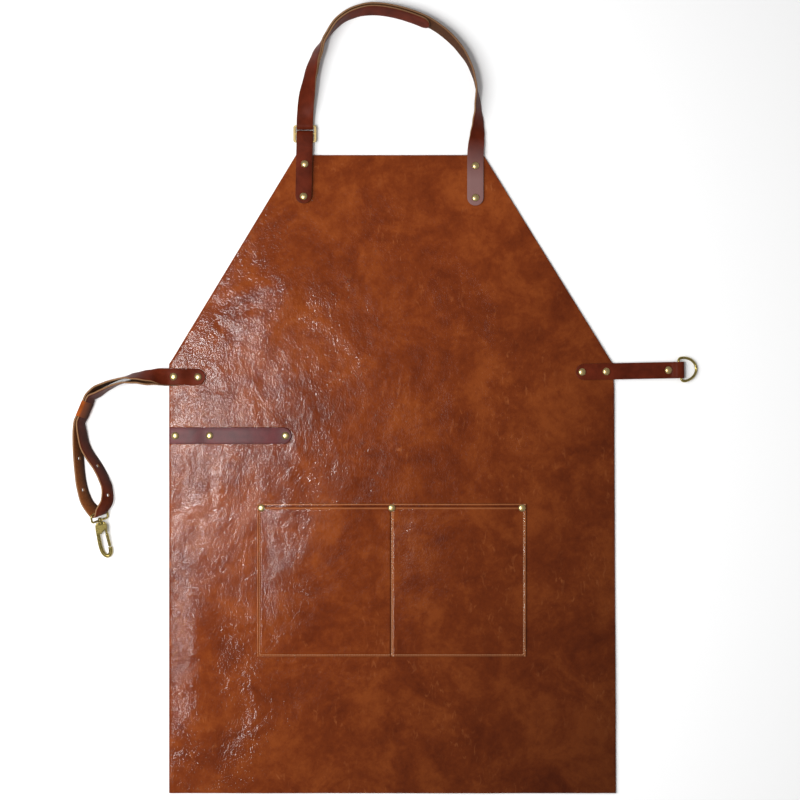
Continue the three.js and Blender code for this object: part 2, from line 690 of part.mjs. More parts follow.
// Flat slide with three bars
function slide() {
  const { wide, tall, bar, side, bevel } = SLIDE;
  const corner = 3;
  const rectangle = (path, halfX, low, high, round) => {
    path.moveTo(-halfX + round, low);
    path.lineTo(halfX - round, low);
    path.quadraticCurveTo(halfX, low, halfX, low + round);
    path.lineTo(halfX, high - round);
    path.quadraticCurveTo(halfX, high, halfX - round, high);
    path.lineTo(-halfX + round, high);
    path.quadraticCurveTo(-halfX, high, -halfX, high - round);
    path.lineTo(-halfX, low + round);
    path.quadraticCurveTo(-halfX, low, -halfX + round, low);
    return path;
  };
  const outlineHigh = tall / 2 - bevel;
  const outline = rectangle(new THREE.Shape(), wide / 2 - bevel, -outlineHigh, outlineHigh, corner);
  const slotHalf = wide / 2 - side + bevel;
  const slots = [[bar / 2 - bevel, tall / 2 - bar + bevel], [bar - tall / 2 - bevel, bevel - bar / 2]];
  for (const [low, high] of slots) {
    outline.holes.push(rectangle(new THREE.Path(), slotHalf, low, high, 1));
  }
  const geometry = new THREE.ExtrudeGeometry(outline, {
    depth: bar - 2 * bevel,
    bevelEnabled: true,
    bevelThickness: bevel,
    bevelSize: bevel,
    bevelSegments: 1,
    curveSegments: 4,
  });
  geometry.translate(0, 0, bevel - bar / 2);
  return geometry;
}

// A closed loop of round wire in the XY plane
function wireLoop(path, count, wire, sides = 8) {
  const spots = path.getSpacedPoints(count).slice(0, count);
  const points = [];
  const triangles = [];
  spots.forEach((spot, k) => {
    const before = spots[(k + count - 1) % count];
    const after = spots[(k + 1) % count];
    const heading = new THREE.Vector2().subVectors(after, before).normalize();
    for (let s = 0; s < sides; s += 1) {
      const angle = (2 * Math.PI * s) / sides;
      const out = wire * Math.cos(angle);
      const high = wire * Math.sin(angle);
      points.push(new THREE.Vector3(spot.x + heading.y * out, spot.y - heading.x * out, high));
    }
  });
  for (let k = 0; k < count; k += 1) {
    for (let s = 0; s < sides; s += 1) {
      const a = k * sides + s;
      const b = k * sides + ((s + 1) % sides);
      const c = ((k + 1) % count) * sides + s;
      const d = ((k + 1) % count) * sides + ((s + 1) % sides);
      triangles.push(a, c, d, a, d, b);
    }
  }
  return closedGeometry(points, triangles);
}

// The D ring: a straight bar on the Y axis and a bow towards +X
function ringLoop() {
  const { corner } = RING;
  const bow = RING.depth - corner;
  const path = new THREE.Path();
  path.moveTo(0, RING.half - corner);
  path.lineTo(0, corner - RING.half);
  path.quadraticCurveTo(0, -RING.half, corner, -RING.half);
  path.absellipse(corner, 0, bow, RING.half, -Math.PI / 2, Math.PI / 2, false, 0);
  path.quadraticCurveTo(0, RING.half, 0, RING.half - corner);
  return wireLoop(path, 44, RING.wire);
}

// The hook's eye: a round-cornered loop with the strap's bar on the X axis and a boss on its lower bar
function eyeLoop() {
  const half = EYE.wide / 2;
  const { corner } = EYE;
  const path = new THREE.Path();
  path.moveTo(corner - half, -EYE.deep);
  path.lineTo(half - corner, -EYE.deep);
  path.quadraticCurveTo(half, -EYE.deep, half, corner - EYE.deep);
  path.lineTo(half, -corner);
  path.quadraticCurveTo(half, 0, half - corner, 0);
  path.lineTo(corner - half, 0);
  path.quadraticCurveTo(-half, 0, -half, -corner);
  path.lineTo(-half, corner - EYE.deep);
  path.quadraticCurveTo(-half, -EYE.deep, corner - half, -EYE.deep);
  const loop = solidOf(wireLoop(path, 48, EYE.wire));
  const top = new THREE.Vector3(0, HOOK.bossHalf - EYE.deep, 0);
  const foot = new THREE.Vector3(0, -HOOK.bossHalf - EYE.deep, 0);
  const boss = solidOf(rod(foot, top, HOOK.boss, 14));
  const reach = new THREE.Vector3(0, 1, 0);
  const bore = solidOf(rod(foot.clone().sub(reach), top.clone().add(reach), HOOK.stud + GAP, 14));
  return geometryOf(loop.add(boss).subtract(bore));
}

// Hook parts lie in their own plane: x across, y back towards the eye, z through the thickness
const HOOK_LINE = [
  { x: -5.4, y: -7 },
  { x: -5.9, y: -13 },
  { x: -5.9, y: -22 },
  { x: -5.8, y: -32 },
  { x: -5.1, y: -40 },
  { x: -2.8, y: -46.6 },
  { x: 1.2, y: -50.2 },
  { x: 5, y: -48.6 },
  { x: 6.9, y: -43.6 },
  { x: 7, y: -38.5 },
];
// Outline of the head that carries the gate, and the slot cut in it for the gate's tongue
const HEAD_LEFT = [
  { x: -3.6, y: -3.6 },
  { x: -7.4, y: -7 },
  { x: -7.6, y: -16.5 },
  { x: -4.2, y: -18.5 },
];
const HEAD_RIGHT = [
  { x: 2.6, y: -15, bendX: -0.4, bendY: -19.5 },
  { x: 7.2, y: -13, bendX: 4.6, bendY: -12.2 },
  { x: 7.4, y: -7, bendX: 8.6, bendY: -10 },
  { x: 3.6, y: -3.6, bendX: 6, bendY: -4.6 },
];
const GATE = {
  x: 5,
  y: -9.6,
  tipX: 6.9,
  tipY: -37,
  wide: 3.6,
  knuckle: 2.3,
  tongueLong: 11,
  barFrom: 10,
};
const GATE_SLOT = { x: 7, y: -11.8, wide: 12.4, tall: 11.2 };

function ovalShape(halfX, halfY) {
  return new THREE.Shape().absellipse(0, 0, halfX, halfY, 0, 2 * Math.PI);
}

function hookBody() {
  const line = HOOK_LINE.map((spot) => new THREE.Vector3(spot.x, spot.y, 0));
  const shank = new THREE.ExtrudeGeometry(ovalShape(HOOK.thick / 2, HOOK.shankHalf), {
    steps: 26,
    curveSegments: 3,
    extrudePath: new THREE.CatmullRomCurve3(line),
  });
  const head = new THREE.Shape(HEAD_LEFT.map((spot) => new THREE.Vector2(spot.x, spot.y)));
  for (const spot of HEAD_RIGHT) {
    head.quadraticCurveTo(spot.bendX, spot.bendY, spot.x, spot.y);
  }
  const plate = new THREE.ExtrudeGeometry(head, {
    depth: HOOK.thick - 2 * HOOK.bevel,
    bevelEnabled: true,
    bevelThickness: HOOK.bevel,
    bevelSize: HOOK.bevel,
    bevelSegments: 1,
    curveSegments: 4,
  });
  plate.translate(0, 0, HOOK.bevel - HOOK.thick / 2);
  const low = HOOK.bossHalf + GAP;
  const joined = 0.5;
  const upright = (from, to, radius) => {
    const foot = new THREE.Vector3(0, from, 0);
    const top = new THREE.Vector3(0, to, 0);
    return solidOf(rod(foot, top, radius, 14));
  };
  const slotSize = [GATE_SLOT.wide, GATE_SLOT.tall, HOOK.tongue + 2 * GAP];
  const slot = solidOf(block([GATE_SLOT.x, GATE_SLOT.y, 0], slotSize));
  const pinHalf = HOOK.thick / 2 - HOOK.pinInset;
  const pinFrom = new THREE.Vector3(GATE.x, GATE.y, -pinHalf);
  const pinTo = new THREE.Vector3(GATE.x, GATE.y, pinHalf);
  let solid = solidOf(shank).add(solidOf(plate));
  solid = solid.add(upright(HOOK.collarFoot, -low, HOOK.collar));
  solid = solid.add(upright(-low - joined, low + joined, HOOK.stud));
  solid = solid.add(upright(low, low + HOOK.studHeadHigh, HOOK.studHead));
  return geometryOf(solid.subtract(slot).add(solidOf(rod(pinFrom, pinTo, HOOK.pin, 10))));
}

function hookGate() {
  const along = Math.hypot(GATE.tipX - GATE.x, GATE.tipY - GATE.y);
  const half = new THREE.Vector3(0, 0, HOOK.tongue / 2);
  const through = new THREE.Vector3(0, 0, HOOK.thick);
  const disc = solidOf(rod(half.clone().negate(), half, GATE.knuckle, 14));
  const tongueSize = [GATE.wide - 2 * GAP, GATE.tongueLong, HOOK.tongue];
  const tongue = solidOf(block([0, -GATE.tongueLong / 2, 0], tongueSize));
  const barTop = new THREE.Vector3(0, -GATE.barFrom, 0);
  const barFoot = new THREE.Vector3(0, -along, 0);
  const bar = solidOf(rod(barTop, barFoot, GATE.wide / 2, 10));
  const bore = solidOf(rod(through.clone().negate(), through, HOOK.pin + GAP, 10));
  const geometry = geometryOf(disc.add(tongue).add(bar).subtract(bore));
  geometry.rotateZ(Math.atan2(GATE.tipX - GATE.x, GATE.y - GATE.tipY));
  return geometry;
}

// A rivet through its stack: domed cap above, post, and a flat back under the panel
function rivet(seat) {
  const capFoot = seat + RIVET.clear;
  const backTop = RIVETED_LIFT - GAP;
  const profile = [
    [0, backTop - RIVET.backThick],
    [RIVET.back - RIVET.backRound, backTop - RIVET.backThick],
    [RIVET.back, backTop - RIVET.backThick / 2],
    [RIVET.back - RIVET.backRound, backTop],
    [RIVET.post, backTop],
    [RIVET.post, capFoot],
    [RIVET.cap - RIVET.backRound, capFoot],
    [RIVET.cap, capFoot + RIVET.rim],
    [RIVET.cap * 0.86, capFoot + RIVET.dome * 0.62],
    [RIVET.cap * 0.5, capFoot + RIVET.dome * 0.93],
    [0, capFoot + RIVET.dome],
  ];
  const geometry = new THREE.LatheGeometry(profile.map(([r, z]) => new THREE.Vector2(r, z)), RIVET.sides);
  geometry.rotateX(Math.PI / 2);
  return geometry;
}

// The assembly
const apron = new THREE.Group();

function addPiece(parent, name, geometry, finish) {
  const mesh = new THREE.Mesh(geometry, new THREE.MeshStandardMaterial(FINISH[finish]));
  mesh.name = name;
  parent.add(mesh);
  return mesh;
}

const panelHoles = rivetHoles(["neck", "waist", "tool", "pocket"]);
addPiece(apron, "apron_panel", cutBy(panelSheet(), panelHoles), "panelLeather");
addPiece(apron, "pocket", cutBy(pocketSheet(), rivetHoles(["pocket"])), "panelLeather");
addPiece(apron, "tool_strip", toolStrip(), "strapLeather");
addPiece(apron, "neck_strap", neckStrap(), "strapLeather");
addPiece(apron, "neck_tab", neckTab(), "strapLeather");
addPiece(apron, "waist_strap_left", waistStrap(), "strapLeather");
addPiece(apron, "waist_strap_right", rightStrap(), "strapLeather");
addPiece(apron, "waist_keeper", keeper(), "keeperLeather");

const neckSlide = addPiece(apron, "neck_slide", slide(), "rivetBrass");
neckSlide.position.set(SLIDE.x, SLIDE.y, SLIDE_Z);

const ring = addPiece(apron, "d_ring", ringLoop(), "hookBrass");
ring.position.set(RING.x, RING.y, RING_Z);
ring.rotation.set(0, Math.asin((RING_Z - RING.wire) / RING.depth), radians(RING.turn), "ZYX");

const eye = new THREE.Group();
eye.position.copy(eyePlace);
const eyeNormal = new THREE.Vector3().crossVectors(hookAhead, eyeBar);
const eyeBasis = new THREE.Matrix4().makeBasis(eyeBar, hookAhead.clone().negate(), eyeNormal);
eye.quaternion.setFromRotationMatrix(eyeBasis);
apron.add(eye);
addPiece(eye, "hook_eye", eyeLoop(), "hookBrass");

const hook = new THREE.Group();
hook.position.copy(eyePlace).addScaledVector(hookAhead, EYE.deep);
const hookSide = new THREE.Vector3().crossVectors(UP, hookAhead).normalize();
const hookUp = new THREE.Vector3().crossVectors(hookAhead, hookSide);
const hookBasis = new THREE.Matrix4().makeBasis(hookSide, hookAhead.clone().negate(), hookUp);
hook.quaternion.setFromRotationMatrix(hookBasis);
apron.add(hook);
addPiece(hook, "hook_body", hookBody(), "hookBrass");
const gate = addPiece(hook, "hook_gate", hookGate(), "hookBrass");
gate.position.set(GATE.x, GATE.y, 0);

for (const row of RIVETS) {
  const mesh = addPiece(apron, row.name, rivet(row.seat), "rivetBrass");
  mesh.position.set(row.x, row.y, 0);
}

export default apron;
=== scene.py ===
"""Leather work apron laid on a pale floor, seen from straight above.

The leather pieces, stitches and turned brass stand for the frame's plain solids. Tables are in
millimetres, and every finished mesh is in metres, in the frame's own place.
"""

import math

import bmesh
import bpy
from bpy.props import FloatProperty, FloatVectorProperty, IntProperty, PointerProperty
from bpy.types import Operator, Panel, PropertyGroup
from mathutils import Matrix, Vector, noise


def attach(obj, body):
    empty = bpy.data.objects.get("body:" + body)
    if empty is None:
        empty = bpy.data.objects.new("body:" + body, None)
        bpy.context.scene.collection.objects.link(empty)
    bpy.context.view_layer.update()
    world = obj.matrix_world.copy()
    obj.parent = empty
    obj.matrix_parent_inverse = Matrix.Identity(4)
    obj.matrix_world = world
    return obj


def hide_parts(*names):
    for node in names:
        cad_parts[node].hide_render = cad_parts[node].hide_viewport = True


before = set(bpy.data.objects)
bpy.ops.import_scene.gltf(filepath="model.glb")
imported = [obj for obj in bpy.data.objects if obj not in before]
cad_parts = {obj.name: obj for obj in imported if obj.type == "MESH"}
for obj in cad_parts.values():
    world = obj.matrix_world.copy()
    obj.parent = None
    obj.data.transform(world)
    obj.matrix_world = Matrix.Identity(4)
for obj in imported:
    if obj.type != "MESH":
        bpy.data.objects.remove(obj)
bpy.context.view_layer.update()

bl_info = {
    "name": "Leather Apron",
    "version": (1, 0, 0),
    "blender": (4, 5, 0),
    "location": "3D View > Sidebar > Apron",
    "description": "Builds a riveted leather work apron with its straps, pocket, hook and ring",
    "category": "Add Mesh",
}

MM = 0.001
UP = Vector((0, 0, 1))
BACK = Vector((0, 1, 0))
LENGTHWISE = Matrix.Rotation(math.pi / 2, 4, "Y")
TO_METRES = Matrix.Scale(MM, 4)

# Heights of the riveted stack above the floor
GAP = 0.3
PANEL_THICK = 2.0
RIVETED_LIFT = 1.3
PANEL_TOP = RIVETED_LIFT + PANEL_THICK
ON_PANEL = PANEL_TOP + GAP
STRAP_THICK = 2.5
ON_STRAP = ON_PANEL + STRAP_THICK + GAP
FLOOR_CLEAR = 0.05

# Left and right edges of the panel, from the hem to the top of the bib: y, left, right
PANEL_EDGE = [
    (-562, -299.5, 301),
    (-20, -299.5, 298.5),
    (15, -299.5, 297),
    (20, -296, 293.5),
    (295.5, -129, 123),
]

# Places where the panel lies level on its rivets' backs: x, y, half width, half height
LEVEL = [
    (-118, 262, 34, 60),
    (112, 262, 34, 60),
    (-285, -2, 62, 42),
    (285, 4, 62, 42),
    (-222, -81, 125, 42),
    (0, -275, 215, 140),
]
LEVEL_FADE = 60
REST_HALF = 85
PANEL_EDGE_ROUND = 0.5
POCKET_EDGE_ROUND = 0.35
SWELL_SHARE = 0.45

# Low swells of the panel and the pocket's ridge: x, y, turn in degrees, half length, half width, height
SWELLS = [
    (-262, -390, 84, 190, 55, 4.5),
    (-150, -500, 70, 150, 80, 3),
    (90, -520, 100, 130, 90, 3.5),
    (262, -380, 95, 180, 52, 4),
    (-150, 120, 58, 150, 55, 3.5),
    (135, 130, 112, 150, 60, 3),
    (0, 250, 8, 90, 50, 2.5),
    (215, -110, 20, 110, 55, 3),
]
POCKET_RIDGE = (-145, -256, 25, 70, 30, 0.6)

# The pocket and its sewing, with room under its grain for the lines that are pressed into it
POCKET = {"left": -181, "right": 180, "top": -173, "foot": -378, "thick": 1.8, "bulge": 1.7}
POCKET_MIDDLE = (POCKET["left"] + POCKET["right"]) / 2
POCKET_HEM = 5
POCKET_SIDE_RAMP = 80
POCKET_FOOT_HEM = 4
POCKET_FOOT_RAMP = 86
POCKET_FREE = {"edge": 5, "side": 30, "foot": 35}
STITCH_INSET = 3.4
STITCH_SHARE = 0.43
STITCH_TURN = 0.07
THREAD_SHOWN = 0.55
FOOT_INSET = 2.2
MOUTH_CREASE = 6
SEAM_TOP_GAP = 5
PRESS_ROOM = 0.7

# Distances from the pocket's lines where its mesh is close, and its spacing elsewhere
SIDE_STEPS = [0, 0.8, 1.6, 2.4, 2.9, 3.4, 3.9, 4.4, 5.4, 6.8, 8.6]
SEAM_STEPS = [0, 0.6, 1.2, 1.9, 3.0, 4.6, 6.6]
HEM_STEPS = [0, 0.8, 1.3, 1.8, 2.2, 2.6, 3.2, 4.2, 5.8, 8.0]
MOUTH_STEPS = [0, 0.7, 1.6, 3.0, 4.4, 5.2, 5.7, 6.0, 6.3, 6.8, 7.6, 9.0, 11.0]
POCKET_STEP = 2.6

# Lines pressed into the pocket: line, distance from it, depth, half width
POCKET_PRESS = [
    ("left", STITCH_INSET, 0.45, 1.9),
    ("right", STITCH_INSET, 0.45, 1.9),
    ("middle", 0, 0.7, 3.2),
    ("foot", FOOT_INSET, 0.45, 1.5),
    ("top", MOUTH_CREASE, 0.5, 1.4),
]

# Rubbed lines of the pocket, lighter from rubbing and as painted highlight on its raised edges and seams,
# and lines darkened as painted shade beside its pressed grooves: line, distance from it, half width, tone
POCKET_WEAR_AND_PAINTED_LIGHT = [
    ("top", 0.5, 1.7, 0.85),
    ("top", 3.2, 1.9, -0.75),
    ("top", 6.0, 1.6, 0.6),
    ("left", 0.5, 1.5, 0.55),
    ("right", 1.6, 1.7, 0.8),
    ("middle", 1.5, 1.7, 0.75),
    ("middle", -1.2, 1.8, -0.7),
    ("foot", 0.4, 1.3, 0.5),
]
WEAR_RANGE = (0.7, 1.25)
WEAR_WAVE = (16, 21.0)

# Soft ripples: share, wave length, seed
PANEL_RIPPLES = [(1, 85, 1.0), (0.42, 34, 5.0), (0.16, 15, 9.0)]
POCKET_RIPPLES = [(0.5, 60, 13.0), (0.25, 24, 17.0)]

# Strap routes: x, y, height of the lower edge, lean in degrees from lying flat with the grain up
NECK_ROUTE = [
    (112, 227.5, ON_PANEL, 0),
    (112, 262, ON_PANEL, 0),
    (112.2, 297, ON_PANEL, 3),
    (112.9, 308, 3, 13),
    (114.3, 322, 1.9, 29),
    (115.3, 338, 0.9, 48),
    (115.2, 358, 0, 68),
    (112.4, 390, 0, 90),
    (104.6, 415, 0, 97),
    (91.3, 437, 0, 106),
    (69.8, 459, 0, 111),
    (41, 477, 0, 115),
    (3.4, 489.2, 0, 115),
    (-27.8, 492.6, 0, 115),
    (-51.2, 488, 0, 109),
    (-71.6, 476.5, 0, 101),
    (-90.8, 452.6, 0, 88),
    (-101.3, 430.4, 2, 62),
    (-108.7, 403.5, 4.4, 42),
    (-114.1, 369.9, 6.4, 18),
    (-116.6, 346, 7, 0),
]
NECK_TAIL = [
    (-116.6, 346, 0.2, 0),
    (-115.2, 369.9, 0.2, 18),
    (-108.4, 402.9, 0, 42),
    (-98.8, 429.4, 0, 63),
    (-88.1, 450.9, 0, 88),
    (-69.4, 474, 0, 101),
    (-50, 484.7, 0, 109),
    (-27.7, 489, 0, 115),
    (2.6, 485.6, 0, 115),
    (39.5, 473.7, 0, 115),
    (50.2, 467.8, 0, 115),
]
KEEPER = {"top": (-408.1, -35), "foot": (-417.4, -57), "lift": 4.2, "lean": 113, "apart": 3.3}
KEEPER_WALL = 1.6
KEEPER_PLAY = 0.4
KEEPER_ROUND = 1.4
# How much of a face's normal lies along an axis that it faces
FACING = 0.7
# Shares of the way along the keeper where it holds the strap's layers, and where its own ends are
KEEPER_HOLDS = (-0.25, 0, 1, 1.25)
KEEPER_ENDS = (0.05, 0.95)
WAIST_ROUTE = [
    (-250.5, -2.7, ON_PANEL, 0),
    (-268, -2.7, ON_PANEL, 0),
    (-285, -2.5, ON_STRAP, 0),
    (-300, -2.1, ON_STRAP, 0),
    (-306, -2, ON_STRAP, 6),
    (-325.5, -0.8, 3.4, 50),
    (-345.2, -1.5, 1, 70),
    (-359.7, -3.6, 0, 88),
    (-385.2, -12.4, 1.2, 98),
    (-398.2, -20, 3, 106),
    "keeper",
    (-421, -78, 3.2, 115),
    (-420.6, -101, 1.4, 117),
    (-418.7, -128.4, 0, 117),
    (-415.4, -151, 0, 119),
    (-408.6, -171.5, 0, 125),
]
WAIST_RETURN = [
    (-381.2, -169, 8, 128),
    (-381.4, -151.5, 4, 121),
    (-386.4, -138.5, 1.5, 118),
    (-394, -123.7, 0, 117),
    (-404, -108.9, 0.8, 117),
    (-411, -96, 1.8, 117),
    (-414.8, -79, 3.2, 115),
    "keeper",
    (-393.8, -26, 3, 106),
    (-380.4, -18, 1.2, 98),
    (-362.6, -10.6, 0, 90),
    (-345.3, -8.6, 0, 80),
    (-324.6, -7, 0.6, 56),
    (-311, -3.6, 2.6, 18),
    (-304, -3.6, ON_PANEL, 2),
    (-298, -3.6, ON_PANEL, 0),
    (-281, -3.6, ON_PANEL, 0),
]
# Punched holes, as distances along the strap from its turn in the hook's eye
WAIST_HOLES = [-88, -46, 33, 75]
HOLE_RADIUS = 2.5

# Folded straps: distance from the free end and height of the underside
SLIDE = {"x": -116.9, "y": 323.7, "tall": 23.3, "bar": 3, "fold": 3.4, "slack": 0.45}
SLIDE_Z = SLIDE["fold"] + STRAP_THICK / 2 + 0.2
RING = {"x": 386.7, "y": 6.7, "wire": 1.75, "half": 15.75, "depth": 22.5, "corner": 4, "turn": 9}
RING_FOLD = 3.3
RING_SLACK = 1.6
RING_Z = RING_FOLD + STRAP_THICK / 2 + 0.2
RIGHT_END = (247, 3.9)
RIGHT_UPPER = [
    (0, ON_PANEL),
    (30, ON_PANEL),
    (55, ON_PANEL),
    (80, ON_PANEL),
    (105, 4.1),
    (119, 4.1),
    (129, 4.1),
    (136, RING_Z + RING_FOLD - STRAP_THICK / 2),
]
RIGHT_LOWER = [(136, RING_Z - RING_FOLD - STRAP_THICK / 2), (129, 1.3), (112, 1.3)]
TAB_END = (-118.8, 230)
TAB_UPPER = [
    (0, ON_STRAP),
    (35, ON_STRAP),
    (62, ON_STRAP),
    (72, ON_STRAP + 0.2),
    (82, SLIDE_Z + SLIDE["fold"] - STRAP_THICK / 2),
]
TAB_LOWER = [
    (82, 0.2),
    (74, 1.5),
    (66, ON_PANEL - 0.1),
    (60, ON_PANEL),
    (35, ON_PANEL),
    (3, ON_PANEL),
]
# The tool strip's spans: x and rise above the panel
TOOL_STRIP_Y = -81.5
STRIP_ARCHES = [
    (-299, 0),
    (-291, 0),
    (-284, 0),
    (-268, 0.8),
    (-252, 0),
    (-245, 0),
    (-238, 0),
    (-216, 1.3),
    (-194, 1.8),
    (-172, 1.3),
    (-150, 0),
    (-143, 0),
    (-135, 0),
]

# The hook's eye, and where the hook turns in it
EYE = {"x": -392.3, "y": -184.9, "z": 14.2, "wire": 1.5, "wide": 28, "deep": 10, "corner": 3}
EYE_LEAN = 20
EYE_ROLL = 45
EYE_SWING = 16.2
EYE_FOLD = 8
BOSS = {"radius": 3, "half": 1.9, "bore": 1.8, "bore_half": 6}

# The hook in its own plane, with its stud, tongue and gate: x across, y back towards the eye, z through it
HOOK = {"thick": 4.6, "half": 2.7, "collar": 3.9, "collar_foot": 5.5, "collar_soft": 0.4, "corner": 0.9}
STUD = {"radius": 1.5, "head": 2.6, "head_soft": 0.5, "head_side": 0.8, "head_tall": 1.3}
TONGUE = 1.6
SHANK_STEPS = 5
HOOK_LINE = [
    (-5.4, -7),
    (-5.9, -13),
    (-5.9, -22),
    (-5.8, -32),
    (-5.1, -40),
    (-2.8, -46.6),
    (1.2, -50.2),
    (5, -48.6),
    (6.9, -43.6),
    (7, -38.3),
]
HOOK_HEAD = [
    (-5.6, -3),
    (-7.6, -6),
    (-8, -12),
    (-7.8, -16.5),
    (-4.2, -19),
    (-1.2, -19),
    (0.9, -17),
    (2.6, -15),
    (4.6, -13.4),
    (7.2, -13),
    (7.9, -10),
    (7.4, -6),
    (6.6, -4.2),
    (5.2, -3),
]
GATE = {
    "x": 5,
    "y": -9.6,
    "tip_x": 6.9,
    "tip_y": -37.4,
    "wide": 4.2,
    "shoulder": 10.6,
    "shoulder_thin": 0.9,
    "bar": 12,
    "tip_run": 0.5,
    "tip_soft": 0.4,
}
# The gate's tongue in the hook's slot: distance from its pin and half width
GATE_TONGUE = [(-2.3, 0.6), (-1.9, 1.4), (-1.0, 2.0), (0.0, 2.3), (2.0, 1.9), (9, 1.5)]
GATE_SLOT = {"x": 7, "y": -11.8, "wide": 12.4, "tall": 11.2}

# Rivets: place and the height that the cap sits on
STRAP_TOP = ON_PANEL + STRAP_THICK
DOUBLE_TOP = ON_STRAP + STRAP_THICK
POCKET_TOP = ON_PANEL + POCKET["thick"]
FOLD_TOP = 4.1 + STRAP_THICK
RIVETS = {
    "rivet_neck_left_top": (-117, 283, DOUBLE_TOP),
    "rivet_neck_left_low": (-118.5, 239.5, DOUBLE_TOP),
    "rivet_neck_right_top": (112, 281, STRAP_TOP),
    "rivet_neck_right_low": (112, 238, STRAP_TOP),
    "rivet_waist_left_inner": (-260.5, -2.7, STRAP_TOP),
    "rivet_waist_left_outer": (-293, -2.3, DOUBLE_TOP),
    "rivet_waist_right_inner": (255, 4, STRAP_TOP),
    "rivet_waist_right_outer": (287.5, 4.6, STRAP_TOP),
    "rivet_ring_fold": (371, 6.4, FOLD_TOP),
    "rivet_tool_edge": (-291, TOOL_STRIP_Y, STRAP_TOP),
    "rivet_tool_middle": (-245, TOOL_STRIP_Y, STRAP_TOP),
    "rivet_tool_end": (-143, TOOL_STRIP_Y, STRAP_TOP),
    "rivet_pocket_left": (-175.5, -178.5, POCKET_TOP),
    "rivet_pocket_middle": (-0.5, -178.5, POCKET_TOP),
    "rivet_pocket_right": (174.5, -178.5, POCKET_TOP),
}


def mix(a, b, share):
    """The value a share of the way from a to b."""
    return a + (b - a) * share


def ease(value, low, high):
    """0 below low, 1 above high and smooth between them."""
    t = min(1.0, max(0.0, (value - low) / (high - low)))
    return t * t * (3 - 2 * t)


def bell(q):
    """A smooth hump from 1 at 0 to 0 at 1."""
    return math.cos(q * math.pi / 2) ** 2 if abs(q) < 1 else 0.0


def ripple(x, y, wave, seed):
    """Soft noise between 0 and 1 with the given wave length."""
    return 0.5 + 0.5 * noise.noise(Vector((x / wave, y / wave, seed)))


def ripples(rows, x, y):
    """The sum of a table's ripples at a place."""
    return sum(share * ripple(x, y, wave, seed) for share, wave, seed in rows)


def hump(row, x, y):
    """Height of a long low swell at a place."""
    center_x, center_y, angle, half_long, half_wide, high = row
    turn = math.radians(angle)
    away_x, away_y = x - center_x, y - center_y
    along = away_x * math.cos(turn) + away_y * math.sin(turn)
    across = away_y * math.cos(turn) - away_x * math.sin(turn)
    return high * bell(along / half_long) * bell(across / half_wide)


class ApronLeather(PropertyGroup):
    """Sizes and colours of the panel and pocket."""

    cell: FloatProperty(
        name="Mesh cell",
        description="Spacing of the panel's mesh",
        default=0.0042,
        unit="LENGTH",
    )
    ripple: FloatProperty(
        name="Ripple",
        description="Height of the panel's soft ripples",
        default=0.0011,
        unit="LENGTH",
    )
    dark: FloatVectorProperty(
        name="Dark grain",
        description="Darkest colour of the waxed grain",
        default=(0.106, 0.0171, 0.0034),
        size=3,
        subtype="COLOR",
    )
    middle: FloatVectorProperty(
        name="Middle grain",
        description="Main colour of the waxed grain",
        default=(0.152, 0.0272, 0.0050),
        size=3,
        subtype="COLOR",
    )
    light: FloatVectorProperty(
        name="Light grain",
        description="Colour of the grain where the wax has moved away",
        default=(0.216, 0.0460, 0.0086),
        size=3,
        subtype="COLOR",
    )
    fleck: FloatVectorProperty(
        name="Flecks",
        description="Colour of the short creases where the grain has opened",
        default=(0.30, 0.085, 0.024),
        size=3,
        subtype="COLOR",
    )
    # Lighter rubbed lines of the pocket, from rubbing and as painted highlight on its raised edges and
    # seams
    rubbed_highlight: FloatVectorProperty(
        name="Worn_and_highlit lines",
        description="Colour of the pocket's rubbed edges",
        default=(0.40, 0.150, 0.055),
        size=3,
        subtype="COLOR",
    )
    # Painted shade beside the pocket's pressed lines
    painted_crease_shade: FloatVectorProperty(
        name="Creases",
        description="Colour of the pocket's pressed lines",
        default=(0.035, 0.006, 0.002),
        size=3,
        subtype="COLOR",
    )
    thread: FloatVectorProperty(
        name="Thread",
        description="Colour of the sewing thread",
        default=(0.44, 0.205, 0.095),
        size=3,
        subtype="COLOR",
    )


class ApronStraps(PropertyGroup):
    """Sizes and colours of the straps."""

    width: FloatProperty(
        name="Width",
        description="Width of every strap",
        default=0.022,
        unit="LENGTH",
    )
    grain: FloatVectorProperty(
        name="Grain",
        description="Colour of the straps' smooth side",
        default=(0.079, 0.0117, 0.0043),
        size=3,
        subtype="COLOR",
    )
    # The tool strip's colour is the strap's brown with a violet tint that stands for a painted reflection;
    # its sheen itself comes from its gloss and the sheen light
    strip: FloatVectorProperty(
        name="Strip",
        description="Colour of the tool strip's smooth side",
        default=(0.084, 0.0120, 0.0135),
        size=3,
        subtype="COLOR",
    )
    # Painted sheen: a pale violet reflection painted on the neck strap's riveted end
    painted_sheen: FloatVectorProperty(
        name="Painted_sheen",
        description="Colour of the wax bloom on the neck strap's riveted end",
        default=(0.215, 0.118, 0.112),
        size=3,
        subtype="COLOR",
    )
    edge: FloatVectorProperty(
        name="Raw edge",
        description="Colour of the straps' cut edges",
        default=(0.21, 0.105, 0.045),
        size=3,
        subtype="COLOR",
    )
    flesh: FloatVectorProperty(
        name="Flesh side",
        description="Colour of the straps' rough side",
        default=(0.060, 0.0215, 0.0075),
        size=3,
        subtype="COLOR",
    )
    keeper: FloatVectorProperty(
        name="Keeper",
        description="Colour of the keeper on the hook's strap",
        default=(0.25, 0.055, 0.009),
        size=3,
        subtype="COLOR",
    )


